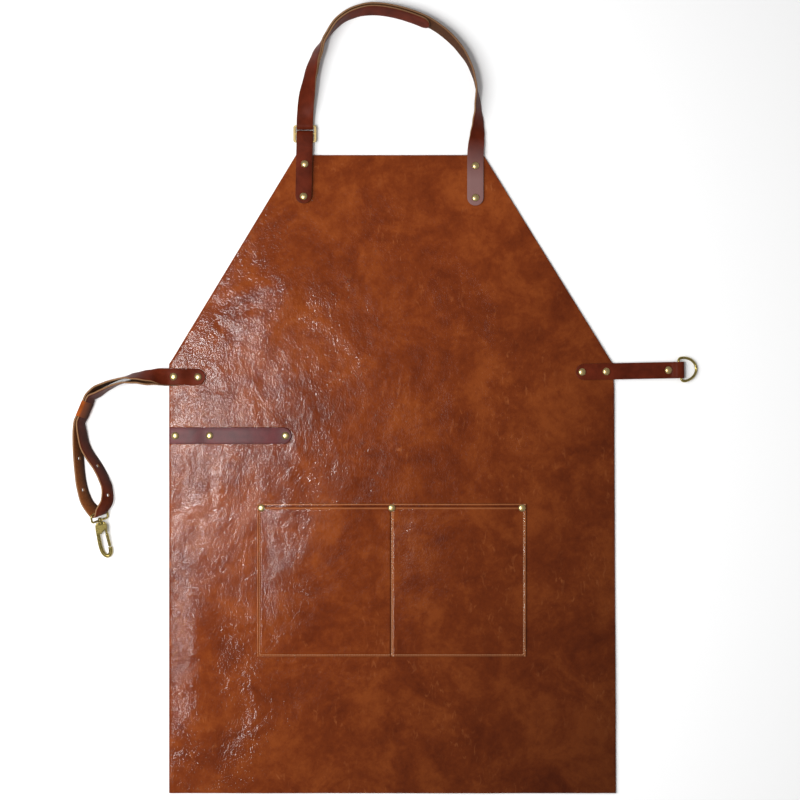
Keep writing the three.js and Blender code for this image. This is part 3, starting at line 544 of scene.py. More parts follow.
class ApronBrass(PropertyGroup):
    """Sizes and colours of the rivets, ring and hook."""

    cap: FloatProperty(
        name="Rivet cap",
        description="Radius of a rivet's cap",
        default=0.005,
        unit="LENGTH",
    )
    sides: IntProperty(
        name="Turned steps",
        description="Steps round a rivet",
        default=36,
        min=12,
    )
    bright: FloatVectorProperty(
        name="Bright brass",
        description="Colour of the rivets and the slide",
        default=(0.80, 0.60, 0.27),
        size=3,
        subtype="COLOR",
    )
    antique: FloatVectorProperty(
        name="Antique brass",
        description="Colour of the ring and the hook",
        default=(0.46, 0.36, 0.115),
        size=3,
        subtype="COLOR",
    )


class ApronStage(PropertyGroup):
    """The camera, floor and lights."""

    lens: FloatProperty(
        name="Lens",
        description="Focal length of the camera",
        default=100.0,
        unit="CAMERA",
    )
    frame_width: FloatProperty(
        name="Frame width",
        description="Width of the picture on the floor",
        default=1.076,
        unit="LENGTH",
    )
    key: FloatProperty(
        name="Left light",
        description="Power of the long light that glints in the leather on the left",
        default=13.0,
        unit="POWER",
    )
    low: FloatProperty(
        name="Low left light",
        description="Power of the light that glints in the leather at the lower left",
        default=7.5,
        unit="POWER",
    )
    patch: FloatProperty(
        name="Patch light",
        description="Power of the small light that shines between the left strap and the strip",
        default=5.0,
        unit="POWER",
    )
    fill: FloatProperty(
        name="Right light",
        description="Power of the light on the right",
        default=6.0,
        unit="POWER",
    )
    soft: FloatProperty(
        name="Soft light",
        description="Power of the large soft light from the upper left",
        default=31.5,
        unit="POWER",
    )
    sheen: FloatProperty(
        name="Sheen light",
        description="Power of the wide dim light that the strip reflects",
        default=1.8,
        unit="POWER",
    )
    world: FloatProperty(
        name="Room light",
        description="Strength of the light from all round",
        default=0.25,
    )
    floor: FloatVectorProperty(
        name="Floor",
        description="Colour of the floor",
        default=(0.94, 0.94, 0.94),
        size=3,
        subtype="COLOR",
    )


# Materials
PANEL_FLESH = (0.20, 0.085, 0.03)
PANEL_RIM = (0.075, 0.022, 0.010)

# Noises: waves to the metre, detail, roughness, distortion
NOISES = {
    "cloud": (13.0, 6.0, 0.62, 0.7),
    "fine": (70.0, 5.0, 0.6, 0.4),
    "speckle": (170.0, 4.0, 0.6, 0.8),
    "flecks": (150.0, 2.0, 0.5, 1.2),
    "patches": (9.0, 3.0, 0.55, 0.0),
    "wax_pores": (160.0, 4.0, 0.6, 0.0),
    "wax_streaks": (230.0, 3.0, 0.55, 0.5),
    "wax_waves": (62.0, 3.0, 0.5, 0.6),
    "wax_hollows": (19.0, 2.0, 0.4, 0.8),
    "nap": (420.0, 6.0, 0.7, 0.0),
    "strap_cloud": (45.0, 5.0, 0.6, 0.3),
    "strap_pores": (620.0, 5.0, 0.65, 0.0),
    "strap_waves": (140.0, 3.0, 0.55, 0.0),
    "fibres": (900.0, 4.0, 0.7, 0.0),
    "marks": (260.0, 5.0, 0.65, 0.3),
    "scratches": (1500.0, 3.0, 0.55, 0.0),
    "twist": (2400.0, 2.0, 0.55, 0.0),
}
# Noises that are drawn out along the apron
STRETCHED = {
    "flecks": (1.0, 0.38, 1.0),
    "wax_streaks": (1.0, 0.72, 1.0),
    "wax_waves": (1.0, 0.55, 1.0),
}
# Bumps: strength, and distance in metres
BUMPS = {
    "wax": (0.12, 0.0007),
    "nap": (0.5, 0.0004),
    "strap": (0.22, 0.0004),
    "fibres": (0.35, 0.0003),
    "brass": (0.06, 0.0002),
    "thread": (0.3, 0.0002),
}
# Mottling: low and high of the noise, and the shares of the colour there
MOTTLES = {
    "nap": (0.3, 0.7, 0.62, 1.35),
    "strap": (0.32, 0.7, 0.68, 1.4),
    "fibres": (0.3, 0.68, 0.6, 1.25),
    # The keeper's row is painted shade, from a tenth of its colour near the floor to all of it at its upper
    # edge
    "keeper": (0.0, 1.0, 0.1, 1.0),
}
BRASS_MARKS = (0.3, 0.6)
BRASS_RUBBED = (0.3, 0.7)
DULLER, SHINIER = 0.12, 0.04

# Roughness and gloss of the finishes, and for brass its roughness and the share of its colour in its marks
ROUGH = {"wax": 0.36, "strap": 0.38, "strip": 0.4, "keeper": 0.45, "edge": 0.75, "nap": 0.9, "thread": 0.6}
GLOSS = {"wax": 0.165, "strap": 0.05, "hook_strap": 0.04, "strip": 0.29, "nap": 0.25}
BRIGHT = (0.27, 0.8)
ANTIQUE = (0.24, 0.78)

# Mottling of the waxed grain: shares of its finer noises, and where its three tones are
FINE_SHARE = 0.36
SPECKLE_SHARE = 0.24
WAX_TONES = (0.61, 0.79, 0.97)

# Ranges of the flecks, the pocket's rubbed lines with painted highlight and shade, and the gloss: low and
# high, and what they become
FLECK_LINES = (0.6, 0.72, 0.0, 1.0)
FLECK_PATCHES = (0.46, 0.6, 0.12, 1.0)
FLECK_STRENGTH = (0.3, 0.7, 0.2, 0.75)
RUBBED_HIGHLIGHT = (0.0, 1.0, 0.0, 1.0)
PRESSED_SHADE = (0.0, -1.0, 0.0, 1.0)
WAX_ROUGHNESS = (0.3, 0.7, 0.12, 0.075)

# Relief of the waxed grain: its cells, and the shares of the flecks and noises
CELLS = 330.0
CELL_EDGES = (0.0, 0.45, 0.0, 1.0)
CELLS_BENT = (60.0, 2.0, 0.006)
FLECK_RELIEF = 0.6
WAX_RELIEF = {"wax_pores": 0.9, "wax_streaks": 3.4, "wax_waves": 5.2, "wax_hollows": 18.0}
STRAP_RELIEF = 0.8

# Painted shade: the waxed grain darkens along this way from the middle of the panel, towards the lower
# right
PAINTED_SHADE_WAY = (0.75, -0.5, 0)
PAINTED_SHADE_RANGE = (0.0, 0.5, 0.0, 0.60)
BLACK = (0.0, 0.0, 0.0)

# Painted shade and light on the upright hook strap and keeper: dark near the floor and lighter on the upper
# edge towards the hook, by height and by distance towards the hook, in metres
TO_HOOK = (0, -1, 0)
PAINTED_FLOOR_SHADE = (0.16, 0.16, 0.16)
PAINTED_LIGHT_HEIGHTS = (0.001, 0.019, 0.0, 1.0)
PAINTED_LIGHT_TOWARDS_HOOK = (0.05, 0.15, 0.45, 1.0)
PAINTED_LIGHT_SHARE = (0.01, 0.05, 0.0, 1.0)
PAINTED_LIGHT_GRAIN = (1.35, 1.5, 1.2)
PAINTED_LIGHT_FLESH = (4.2, 3.4, 2.0)
KEEPER_PAINTED_SHADE_HEIGHTS = (0.008, 0.027, 0.0, 1.0)

# The neck strap's painted sheen, a reflection painted on its riveted end, by distance towards the neck
PAINTED_SHEEN_REACH = (0.318, 0.262, 0.0, 0.85)

# Sockets of a mix node that are used for colours
MIX_SHARE, MIX_A, MIX_B = 0, 6, 7
MIX_COLOR = 2


class Shader:
    """One material's nodes, added and linked by short calls."""

    def __init__(self, name, color, roughness, metallic=0.0):
        self.material = bpy.data.materials.new(name)
        self.material.use_nodes = True
        self.tree = self.material.node_tree
        self.surface = self.tree.nodes["Principled BSDF"]
        self.set(self.surface, "Base Color", (*color, 1))
        self.set(self.surface, "Roughness", roughness)
        self.set(self.surface, "Metallic", metallic)
        self.coords = self.add("ShaderNodeTexCoord").outputs["Object"]

    def add(self, kind, **values):
        """A new node with the given properties."""
        node = self.tree.nodes.new(kind)
        for key, value in values.items():
            setattr(node, key, value)
        return node

    def set(self, node, socket, value):
        """The value of a node's input."""
        node.inputs[socket].default_value = value

    def link(self, output, node, socket):
        """A wire from an output to a node's input."""
        self.tree.links.new(output, node.inputs[socket])

    def noise(self, name):
        """One of the noises, drawn out where it has a stretch."""
        node = self.add("ShaderNodeTexNoise")
        self.link(self.scaled(STRETCHED[name]) if name in STRETCHED else self.coords, node, "Vector")
        for socket, number in zip(("Scale", "Detail", "Roughness", "Distortion"), NOISES[name]):
            self.set(node, socket, number)
        return node.outputs["Fac"]

    def pebbles(self, scale, vector):
        """Rounded cells at a scale in cells per metre, low at their edges."""
        node = self.add("ShaderNodeTexVoronoi", feature="DISTANCE_TO_EDGE")
        self.link(vector, node, "Vector")
        self.set(node, "Scale", scale)
        return node.outputs["Distance"]

    def ramp(self, value, stops):
        """Colours at places from 0 to 1."""
        node = self.add("ShaderNodeValToRGB")
        self.link(value, node, "Fac")
        spots = node.color_ramp.elements
        while len(spots) < len(stops):
            spots.new(0.5)
        for spot, (place, color) in zip(spots, stops):
            spot.position = place
            spot.color = (*color, 1)
        return node.outputs["Color"]

    def mottle(self, value, color, low, high, dark, light):
        """A colour that goes from a dark to a light share of itself between two values."""
        shades = [tuple(min(1.0, share * c) for c in color) for share in (dark, light)]
        return self.ramp(value, list(zip((low, high), shades)))

    def stretch(self, value, *ranges):
        """A value moved from one range to another: low, high, then the new low and high."""
        node = self.add("ShaderNodeMapRange")
        self.link(value, node, "Value")
        for socket, number in zip(("From Min", "From Max", "To Min", "To Max"), ranges):
            self.set(node, socket, number)
        return node.outputs["Result"]

    def sum(self, a, b, share):
        """a plus a share of b."""
        node = self.add("ShaderNodeMath", operation="MULTIPLY_ADD")
        self.link(b, node, 0)
        node.inputs[1].default_value = share
        self.link(a, node, 2)
        return node.outputs["Value"]

    def times(self, a, b):
        """The product of two values."""
        node = self.add("ShaderNodeMath", operation="MULTIPLY")
        self.link(a, node, 0)
        self.link(b, node, 1)
        return node.outputs["Value"]

    def blend(self, kind, share, a, b):
        """A colour output mixed by a share with another colour, which may be plain or an output."""
        node = self.add("ShaderNodeMix", data_type="RGBA", blend_type=kind)
        self.link(share, node, MIX_SHARE)
        self.link(a, node, MIX_A)
        if isinstance(b, bpy.types.NodeSocket):
            self.link(b, node, MIX_B)
        else:
            self.set(node, MIX_B, (*b, 1))
        return node.outputs[MIX_COLOR]

    def bump(self, height, strength, distance):
        """A bump on the surface from a height between 0 and 1."""
        node = self.add("ShaderNodeBump")
        self.link(height, node, "Height")
        self.set(node, "Strength", strength)
        self.set(node, "Distance", distance)
        self.link(node.outputs["Normal"], self.surface, "Normal")

    def scaled(self, size):
        """Object coordinates scaled by a vector."""
        node = self.add("ShaderNodeVectorMath", operation="MULTIPLY")
        self.link(self.coords, node, 0)
        node.inputs[1].default_value = size
        return node.outputs["Vector"]

    def along(self, way):
        """Distance from the origin along a direction."""
        node = self.add("ShaderNodeVectorMath", operation="DOT_PRODUCT")
        self.link(self.coords, node, 0)
        node.inputs[1].default_value = way
        return node.outputs["Value"]

    def bent(self, scale, detail, amount):
        """Object coordinates pushed about by noise."""
        node = self.add("ShaderNodeTexNoise")
        self.link(self.coords, node, "Vector")
        self.set(node, "Scale", scale)
        self.set(node, "Detail", detail)
        add = self.add("ShaderNodeVectorMath", operation="MULTIPLY_ADD")
        self.link(node.outputs["Color"], add, 0)
        add.inputs[1].default_value = (amount, amount, amount)
        self.link(self.coords, add, 2)
        return add.outputs["Vector"]


def waxed_grain():
    """The panel's glossy, mottled grain side, with painted shade towards its lower right, and rubbed lines
    with painted highlight and shade on the pocket.
    """
    leather = bpy.context.scene.apron_leather
    shader = Shader("waxed_grain", leather.middle, ROUGH["wax"])
    cloud = shader.noise("cloud")
    fine = shader.noise("fine")
    tone = shader.sum(shader.sum(cloud, fine, FINE_SHARE), shader.noise("speckle"), SPECKLE_SHARE)
    color = shader.ramp(tone, list(zip(WAX_TONES, (leather.dark, leather.middle, leather.light))))
    lines = shader.stretch(shader.noise("flecks"), *FLECK_LINES)
    creased = shader.times(lines, shader.stretch(shader.noise("patches"), *FLECK_PATCHES))
    opened = shader.times(creased, shader.stretch(fine, *FLECK_STRENGTH))
    color = shader.blend("MIX", opened, color, leather.fleck)
    wear = shader.add("ShaderNodeAttribute", attribute_name="wear").outputs["Fac"]
    # Rubbed lines with painted highlight, then painted shade beside the pressed lines
    color = shader.blend("MIX", shader.stretch(wear, *RUBBED_HIGHLIGHT), color, leather.rubbed_highlight)
    color = shader.blend("MIX", shader.stretch(wear, *PRESSED_SHADE), color, leather.painted_crease_shade)
    # Painted shade: the grain is darkened towards the lower right of the panel
    color = shader.blend("MULTIPLY", shader.stretch(shader.along(PAINTED_SHADE_WAY), *PAINTED_SHADE_RANGE), color, BLACK)
    shader.link(color, shader.surface, "Base Color")
    cells = shader.stretch(shader.pebbles(CELLS, shader.bent(*CELLS_BENT)), *CELL_EDGES)
    height = shader.sum(cells, creased, FLECK_RELIEF)
    for name, share in WAX_RELIEF.items():
        height = shader.sum(height, shader.noise(name), share)
    shader.bump(height, *BUMPS["wax"])
    shader.link(shader.stretch(cloud, *WAX_ROUGHNESS), shader.surface, "Roughness")
    shader.set(shader.surface, "Specular IOR Level", GLOSS["wax"])
    return shader.material


def painted_strap_light(shader, color, painted_light):
    """A hook strap's colour with painted shade in its lower edge near the floor and painted light on its
    upper edge towards the hook.
    """
    high = shader.stretch(shader.along(UP), *PAINTED_LIGHT_HEIGHTS)
    near = shader.stretch(shader.along(TO_HOOK), *PAINTED_LIGHT_TOWARDS_HOOK)
    shade = shader.ramp(shader.times(high, near), [(0.0, PAINTED_FLOOR_SHADE), (1.0, painted_light)])
    free = shader.stretch(shader.along(TO_HOOK), *PAINTED_LIGHT_SHARE)
    return shader.blend("MULTIPLY", free, color, shade)


def keeper_face(name, color):
    """The keeper's broad side with painted shade: orange at its upper edge and dark near the floor."""
    shader = Shader(name, color, ROUGH["keeper"])
    high = shader.stretch(shader.along(UP), *KEEPER_PAINTED_SHADE_HEIGHTS)
    shader.link(shader.mottle(high, color, *MOTTLES["keeper"]), shader.surface, "Base Color")
    shader.bump(shader.noise("strap_pores"), *BUMPS["strap"])
    shader.set(shader.surface, "Specular IOR Level", GLOSS["strap"])
    return shader.material


def suede(name, color, painted_light=None):
    """A rough flesh side, with painted shade and light where a strap stands upright."""
    shader = Shader(name, color, ROUGH["nap"])
    nap = shader.noise("nap")
    tone = shader.mottle(nap, color, *MOTTLES["nap"])
    if painted_light:
        tone = painted_strap_light(shader, tone, painted_light)
    shader.link(tone, shader.surface, "Base Color")
    shader.bump(nap, *BUMPS["nap"])
    shader.set(shader.surface, "Specular IOR Level", GLOSS["nap"])
    return shader.material


def strap_grain(name, color, rough="strap", gloss="strap", painted_light=None, painted_sheen=None):
    """Smooth strap leather, with painted shade and light where a strap stands upright and a painted sheen
    on the neck strap's riveted end.
    """
    shader = Shader(name, color, ROUGH[rough])
    tone = shader.mottle(shader.noise("strap_cloud"), color, *MOTTLES["strap"])
    if painted_light:
        tone = painted_strap_light(shader, tone, painted_light)
    if painted_sheen:
        # Painted sheen on the neck strap's riveted end
        tone = shader.blend("MIX", shader.stretch(shader.along(BACK), *PAINTED_SHEEN_REACH), tone, painted_sheen)
    shader.link(tone, shader.surface, "Base Color")
    relief = shader.sum(shader.noise("strap_pores"), shader.noise("strap_waves"), STRAP_RELIEF)
    shader.bump(relief, *BUMPS["strap"])
    shader.set(shader.surface, "Specular IOR Level", GLOSS[gloss])
    return shader.material


def cut_edge(name, color):
    """The fibres of a cut edge."""
    shader = Shader(name, color, ROUGH["edge"])
    fibres = shader.noise("fibres")
    shader.link(shader.mottle(fibres, color, *MOTTLES["fibres"]), shader.surface, "Base Color")
    shader.bump(fibres, *BUMPS["fibres"])
    return shader.material


def brass(name, color, roughness, tarnish):
    """Brass with soft handling marks, darker where it is tarnished."""
    shader = Shader(name, color, roughness, 1.0)
    marks = shader.noise("marks")
    shader.link(shader.mottle(marks, color, *BRASS_MARKS, tarnish, 1.0), shader.surface, "Base Color")
    rubbed = shader.stretch(marks, *BRASS_RUBBED, roughness + DULLER, roughness - SHINIER)
    shader.link(rubbed, shader.surface, "Roughness")
    shader.bump(shader.noise("scratches"), *BUMPS["brass"])
    return shader.material


def sewing_thread(name, color):
    """Waxed thread."""
    shader = Shader(name, color, ROUGH["thread"])
    shader.bump(shader.noise("twist"), *BUMPS["thread"])
    return shader.material


def finish(name):
    """A shared material by name, made on its first use."""
    leather = bpy.context.scene.apron_leather
    straps = bpy.context.scene.apron_straps
    metal = bpy.context.scene.apron_brass
    makers = {
        "waxed_grain": waxed_grain,
        "panel_flesh": lambda: suede(name, PANEL_FLESH),
        "panel_edge": lambda: cut_edge(name, PANEL_RIM),
        "strap_grain": lambda: strap_grain(name, straps.grain),
        "neck_grain": lambda: strap_grain(name, straps.grain, painted_sheen=straps.painted_sheen),
        "strip_grain": lambda: strap_grain(name, straps.strip, "strip", "strip"),
        "strap_edge": lambda: cut_edge(name, straps.edge),
        "strap_flesh": lambda: suede(name, straps.flesh),
        "hook_strap_grain": lambda: strap_grain(name, straps.grain, gloss="hook_strap", painted_light=PAINTED_LIGHT_GRAIN),
        "hook_strap_flesh": lambda: suede(name, straps.flesh, PAINTED_LIGHT_FLESH),
        "keeper_grain": lambda: strap_grain(name, straps.keeper, "keeper"),
        "keeper_face": lambda: keeper_face(name, straps.keeper),
        "bright_brass": lambda: brass(name, metal.bright, *BRIGHT),
        "antique_brass": lambda: brass(name, metal.antique, *ANTIQUE),
        "sewing_thread": lambda: sewing_thread(name, leather.thread),
    }
    return bpy.data.materials.get(name) or makers[name]()


# Finishing a piece
def place_piece(name, bm, finishes, body, nodes=(), smooth=True):
    """Makes an object of a bmesh, gives it its finishes and hangs it on its body."""
    mesh = bpy.data.meshes.new(name)
    bm.to_mesh(mesh)
    bm.free()
    for each in finishes:
        mesh.materials.append(finish(each))
    if smooth:
        mesh.shade_smooth()
    piece = bpy.data.objects.new(name, mesh)
    bpy.context.scene.collection.objects.link(piece)
    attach(piece, body)
    if nodes:
        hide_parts(*nodes)
    return piece


def evaluated(piece):
    """Bakes a piece's modifiers into its mesh."""
    graph = bpy.context.evaluated_depsgraph_get()
    mesh = bpy.data.meshes.new_from_object(piece.evaluated_get(graph))
    piece.modifiers.clear()
    old = piece.data
    piece.data = mesh
    mesh.name = old.name
    bpy.data.meshes.remove(old)


def carve(piece, cutter, operation):
    """Cuts a closed bmesh from a piece, or joins it to the piece."""
    mesh = bpy.data.meshes.new("cutter")
    cutter.to_mesh(mesh)
    cutter.free()
    for each in piece.data.materials:
        mesh.materials.append(each)
    tool = bpy.data.objects.new("cutter", mesh)
    bpy.context.scene.collection.objects.link(tool)
    modifier = piece.modifiers.new("carve", "BOOLEAN")
    modifier.operation = operation
    modifier.solver = "EXACT"
    modifier.object = tool
    evaluated(piece)
    bpy.data.objects.remove(tool)
    bpy.data.meshes.remove(mesh)


def soften_edges(bm, edges, size, steps):
    """Rounds edges of a bmesh."""
    bmesh.ops.bevel(bm, geom=edges, offset=size, affect="EDGES", segments=steps, profile=0.5, material=-1)


# Sheets of leather
def leather_grid(columns, rows, place):
    """A grid sheet with a vertex at each column and row, set by a function of the two."""
    bm = bmesh.new()
    across = len(columns) - 1
    along = len(rows) - 1
    bmesh.ops.create_grid(bm, x_segments=across, y_segments=along, size=1)
    for vert in bm.verts:
        i = round((vert.co.x + 1) / 2 * across)
        j = round((vert.co.y + 1) / 2 * along)
        vert.co = Vector(place(columns[i], rows[j])) * MM
    bmesh.ops.recalc_face_normals(bm, faces=bm.faces)
    if sum(face.normal.z for face in bm.faces) < 0:
        bmesh.ops.reverse_faces(bm, faces=bm.faces)
    return bm


def thicken(piece, thick, edge_round):
    """Gives a sheet its thickness below the grain, with a soft cut edge."""
    wall = piece.modifiers.new("wall", "SOLIDIFY")
    wall.thickness = thick * MM
    wall.offset = -1
    wall.material_offset = 1
    wall.material_offset_rim = 2
    soft = piece.modifiers.new("edge", "BEVEL")
    soft.width = edge_round * MM
    soft.segments = 2
    soft.limit_method = "ANGLE"
    soft.angle_limit = math.radians(60)
    soft.use_clamp_overlap = True


def level_share(x, y):
    """1 where the panel lies level on its rivets, 0 away from them."""
    level = 0.0
    for cx, cy, half_x, half_y in LEVEL:
        away = math.hypot(max(0, abs(x - cx) - half_x), max(0, abs(y - cy) - half_y))
        level = max(level, 1 - ease(away, 0, LEVEL_FADE))
    return level


def panel_lift(x, y):
    """Height of the panel's underside."""
    swell = sum(hump(row, x, y) for row in SWELLS)
    rest = math.hypot(max(0, abs(x) - REST_HALF), max(0, abs(y) - REST_HALF))
    swell *= SWELL_SHARE * ease(rest, 0, LEVEL_FADE)
    size = bpy.context.scene.apron_leather.ripple / MM
    level = level_share(x, y)
    return RIVETED_LIFT * level + (swell + size * ripples(PANEL_RIPPLES, x, y)) * (1 - level)


def spaced(low, high, step):
    """Even places from low to high, no more than a step apart."""
    count = max(1, math.ceil((high - low) / step))
    return [mix(low, high, k / count) for k in range(count + 1)]


class APRON_OT_panel(Operator):
    """Builds the apron's panel with its swells and ripples"""

    bl_idname = "apron.panel"
    bl_label = "Panel"

    def execute(self, context):
        cell = context.scene.apron_leather.cell / MM
        rows = [PANEL_EDGE[0]]
        for low, high in zip(PANEL_EDGE, PANEL_EDGE[1:]):
            count = max(1, round((high[0] - low[0]) / cell))
            rows += [tuple(mix(a, b, k / count) for a, b in zip(low, high)) for k in range(1, count + 1)]
        columns = spaced(0, 1, cell / (PANEL_EDGE[0][2] - PANEL_EDGE[0][1]))

        def place(share, row):
            y, left, right = row
            x = mix(left, right, share)
            return x, y, panel_lift(x, y) + PANEL_THICK

        bm = leather_grid(columns, rows, place)
        finishes = ["waxed_grain", "panel_flesh", "panel_edge"]
        panel = place_piece("panel_leather", bm, finishes, "apron", ["apron_panel"])
        thicken(panel, PANEL_THICK, PANEL_EDGE_ROUND)
        return {"FINISHED"}


def pocket_columns():
    """Places across the pocket, close together at its seams."""
    left = [POCKET["left"] + d for d in SIDE_STEPS]
    right = [POCKET["right"] - d for d in reversed(SIDE_STEPS)]
    toward = [POCKET_MIDDLE - d for d in reversed(SEAM_STEPS)]
    away = [POCKET_MIDDLE + d for d in SEAM_STEPS]
    between_left = spaced(left[-1], toward[0], POCKET_STEP)[1:-1]
    between_right = spaced(away[-1], right[0], POCKET_STEP)[1:-1]
    return left + between_left + toward + away[1:] + between_right + right


def pocket_rows():
    """Places up the pocket, close together at its hem and mouth."""
    low = [POCKET["foot"] + d for d in HEM_STEPS]
    high = [POCKET["top"] - d for d in reversed(MOUTH_STEPS)]
    return low + spaced(low[-1], high[0], POCKET_STEP)[1:-1] + high


def pocket_inset(line, x, y):
    """Distance of a place from one of the pocket's lines, inwards or to the right of the middle."""
    return {
        "left": x - POCKET["left"],
        "middle": x - POCKET_MIDDLE,
        "right": POCKET["right"] - x,
        "foot": y - POCKET["foot"],
        "top": POCKET["top"] - y,
    }[line]


def pocket_lift(x, y):
    """Height of the pocket's underside: each half stands off the panel, most at the mouth."""
    side = min(abs(pocket_inset(line, x, y)) for line in ("left", "middle", "right"))
    across = ease(side, POCKET_HEM, POCKET_HEM + POCKET_SIDE_RAMP)
    foot = POCKET["foot"] + POCKET_FOOT_HEM
    rise = POCKET["bulge"] * across * ease(y, foot, foot + POCKET_FOOT_RAMP)
    ridge = hump(POCKET_RIDGE, x, y)
    free = ease(side, POCKET_FREE["edge"], POCKET_FREE["side"])
    free *= ease(pocket_inset("foot", x, y), POCKET_FREE["edge"], POCKET_FREE["foot"])
    return ON_PANEL + rise + (ripples(POCKET_RIPPLES, x, y) + ridge) * free


def pocket_press(x, y):
    """How far the grain is pulled down by the sewing and the creased mouth."""
    return max(
        depth * bell((pocket_inset(line, x, y) - inset) / half) for line, inset, depth, half in POCKET_PRESS
    )


def pocket_wear_and_painted_light(x, y):
    """How light the pocket's grain is painted, from 1 on a rubbed and highlit edge to -1 for painted shade
    by a pressed line.
    """
    wear = 0.0
    for line, inset, half, tone in POCKET_WEAR_AND_PAINTED_LIGHT:
        wear += tone * bell((pocket_inset(line, x, y) - inset) / half)
    return wear * mix(*WEAR_RANGE, ripple(x, y, *WEAR_WAVE))


def stitch_lines():
    """Straight runs of sewing on the pocket, each from a place to a place."""
    left = POCKET["left"] + STITCH_INSET
    right = POCKET["right"] - STITCH_INSET
    foot = POCKET["foot"] + FOOT_INSET
    top = POCKET["top"] - MOUTH_CREASE - SEAM_TOP_GAP
    return [
        ((left, top), (left, foot)),
        ((left, foot), (right, foot)),
        ((right, foot), (right, top)),
        ((POCKET_MIDDLE, top), (POCKET_MIDDLE, foot)),
    ]


class APRON_OT_pocket(Operator):
    """Builds the double pocket and its sewing"""

    bl_idname = "apron.pocket"
    bl_label = "Pocket"

    stitch: FloatProperty(name="Stitch", description="Length of one stitch and its gap", default=3.3)
    thread: FloatProperty(name="Thread", description="Radius of the thread", default=0.5)

    def execute(self, context):
        thick = POCKET["thick"]

        def place(x, y):
            return x, y, pocket_lift(x, y) + thick - pocket_press(x, y)

        bm = leather_grid(pocket_columns(), pocket_rows(), place)
        finishes = ["waxed_grain", "panel_flesh", "panel_edge"]
        pocket = place_piece("pocket_leather", bm, finishes, "apron", ["pocket"])
        # Rubbed lines with painted highlight, and painted shade beside the pressed lines, as a value on
        # each point
        wear = pocket.data.attributes.new("wear", "FLOAT", "POINT")
        for vert, value in zip(pocket.data.vertices, wear.data):
            value.value = pocket_wear_and_painted_light(vert.co.x / MM, vert.co.y / MM)
        thicken(pocket, thick - PRESS_ROOM, POCKET_EDGE_ROUND)
        sewing = bmesh.new()
        for start, end in stitch_lines():
            self.sew(sewing, Vector(start), Vector(end), place)
        stitches = place_piece("pocket_stitches", sewing, ["sewing_thread"], "apron")
        return {"FINISHED"}

    def sew(self, bm, start, end, place):
        """One run of stitches lying in its groove."""
        run = end - start
        count = round(run.length / self.stitch)
        way = run.normalized()
        turn = math.atan2(way.y, way.x)
        for k in range(count):
            spot = start + run * ((k + 0.5) / count)
            ahead = spot + way
            low = Vector(place(spot.x, spot.y))
            slope = math.atan2(place(ahead.x, ahead.y)[2] - low.z, 1)
            shape = Matrix.Diagonal((STITCH_SHARE * self.stitch, self.thread, self.thread, 1))
            lay = Matrix.Rotation(turn + STITCH_TURN, 4, "Z") @ Matrix.Rotation(-slope, 4, "Y")
            lift = UP * (THREAD_SHOWN * self.thread)
            bmesh.ops.create_uvsphere(
                bm,
                u_segments=8,
                v_segments=5,
                radius=1,
                matrix=TO_METRES @ Matrix.Translation(low + lift) @ lay @ shape @ LENGTHWISE,
            )


# Straps, and their turns round a bar: from and to, in degrees, and steps
HALF_TURN = (0, 180, 8)
EYE_TURN = (25, 155, 6)

# Angles of the stations round a strap's tip, and the reach over which its heading is taken
TIP_ANGLES = [math.radians(angle) for angle in (9, 18, 28, 38, 48, 58, 68, 79, 90)]
HEADING_REACH = 0.8
STRAP_CORNER = 0.55
PATH_STEP = 2.0


def keeper_rows(inset, shares, way):
    """Rows where the keeper holds a layer straight, each with its heading."""
    top = Vector(KEEPER["top"])
    foot = Vector(KEEPER["foot"])
    heading = (foot - top).normalized()
    rows = []
    for share in shares:
        spot = top.lerp(foot, share) + Vector((-heading.y, heading.x)) * inset
        rows.append((spot.x, spot.y, KEEPER["lift"], KEEPER["lean"], heading * way))
    return rows


def route_guides(rows, outward, width):
    """Rows of a route as guides: a centre point and the direction across the strap."""
    guides = []
    for k, row in enumerate(rows):
        before = rows[max(0, k - 1)]
        after = rows[min(len(rows) - 1, k + 1)]
        chord = Vector((after[0] - before[0], after[1] - before[1])).normalized()
        heading = row[4] if len(row) > 4 else chord
        lean = math.radians(row[3])
        out = Vector((heading.y, -heading.x, 0)) * outward
        across = out * -math.cos(lean) + UP * math.sin(lean)
        half = width / 2 * math.sin(lean) + STRAP_THICK / 2 * abs(math.cos(lean))
        guides.append((Vector((row[0], row[1], row[2] + half)), across))
    return guides


def fold_guides(center, ahead, rise, across, radius, low, high, steps):
    """The turn of a strap round a bar, from the side away from rise to the side of rise."""
    guides = []
    for k in range(steps + 1):
        turn = math.radians(mix(low, high, k / steps))
        point = center - rise * (radius * math.cos(turn)) + ahead * (radius * math.sin(turn))
        guides.append((point, across.copy()))
    return guides


def curve_point(a, b, c, d, t):
    """A point between b and c on the centripetal curve through four points."""
    knots = [0.0]
    for p, q in ((a, b), (b, c), (c, d)):
        knots.append(knots[-1] + max(1e-4, (q - p).length ** 0.5))
    t = mix(knots[1], knots[2], t)

    def between(p, q, low, high):
        return p * ((high - t) / (high - low)) + q * ((t - low) / (high - low))

    ab = between(a, b, knots[0], knots[1])
    bc = between(b, c, knots[1], knots[2])
    cd = between(c, d, knots[2], knots[3])
    abc = between(ab, bc, knots[0], knots[2])
    bcd = between(bc, cd, knots[1], knots[3])
    return between(abc, bcd, knots[1], knots[2])


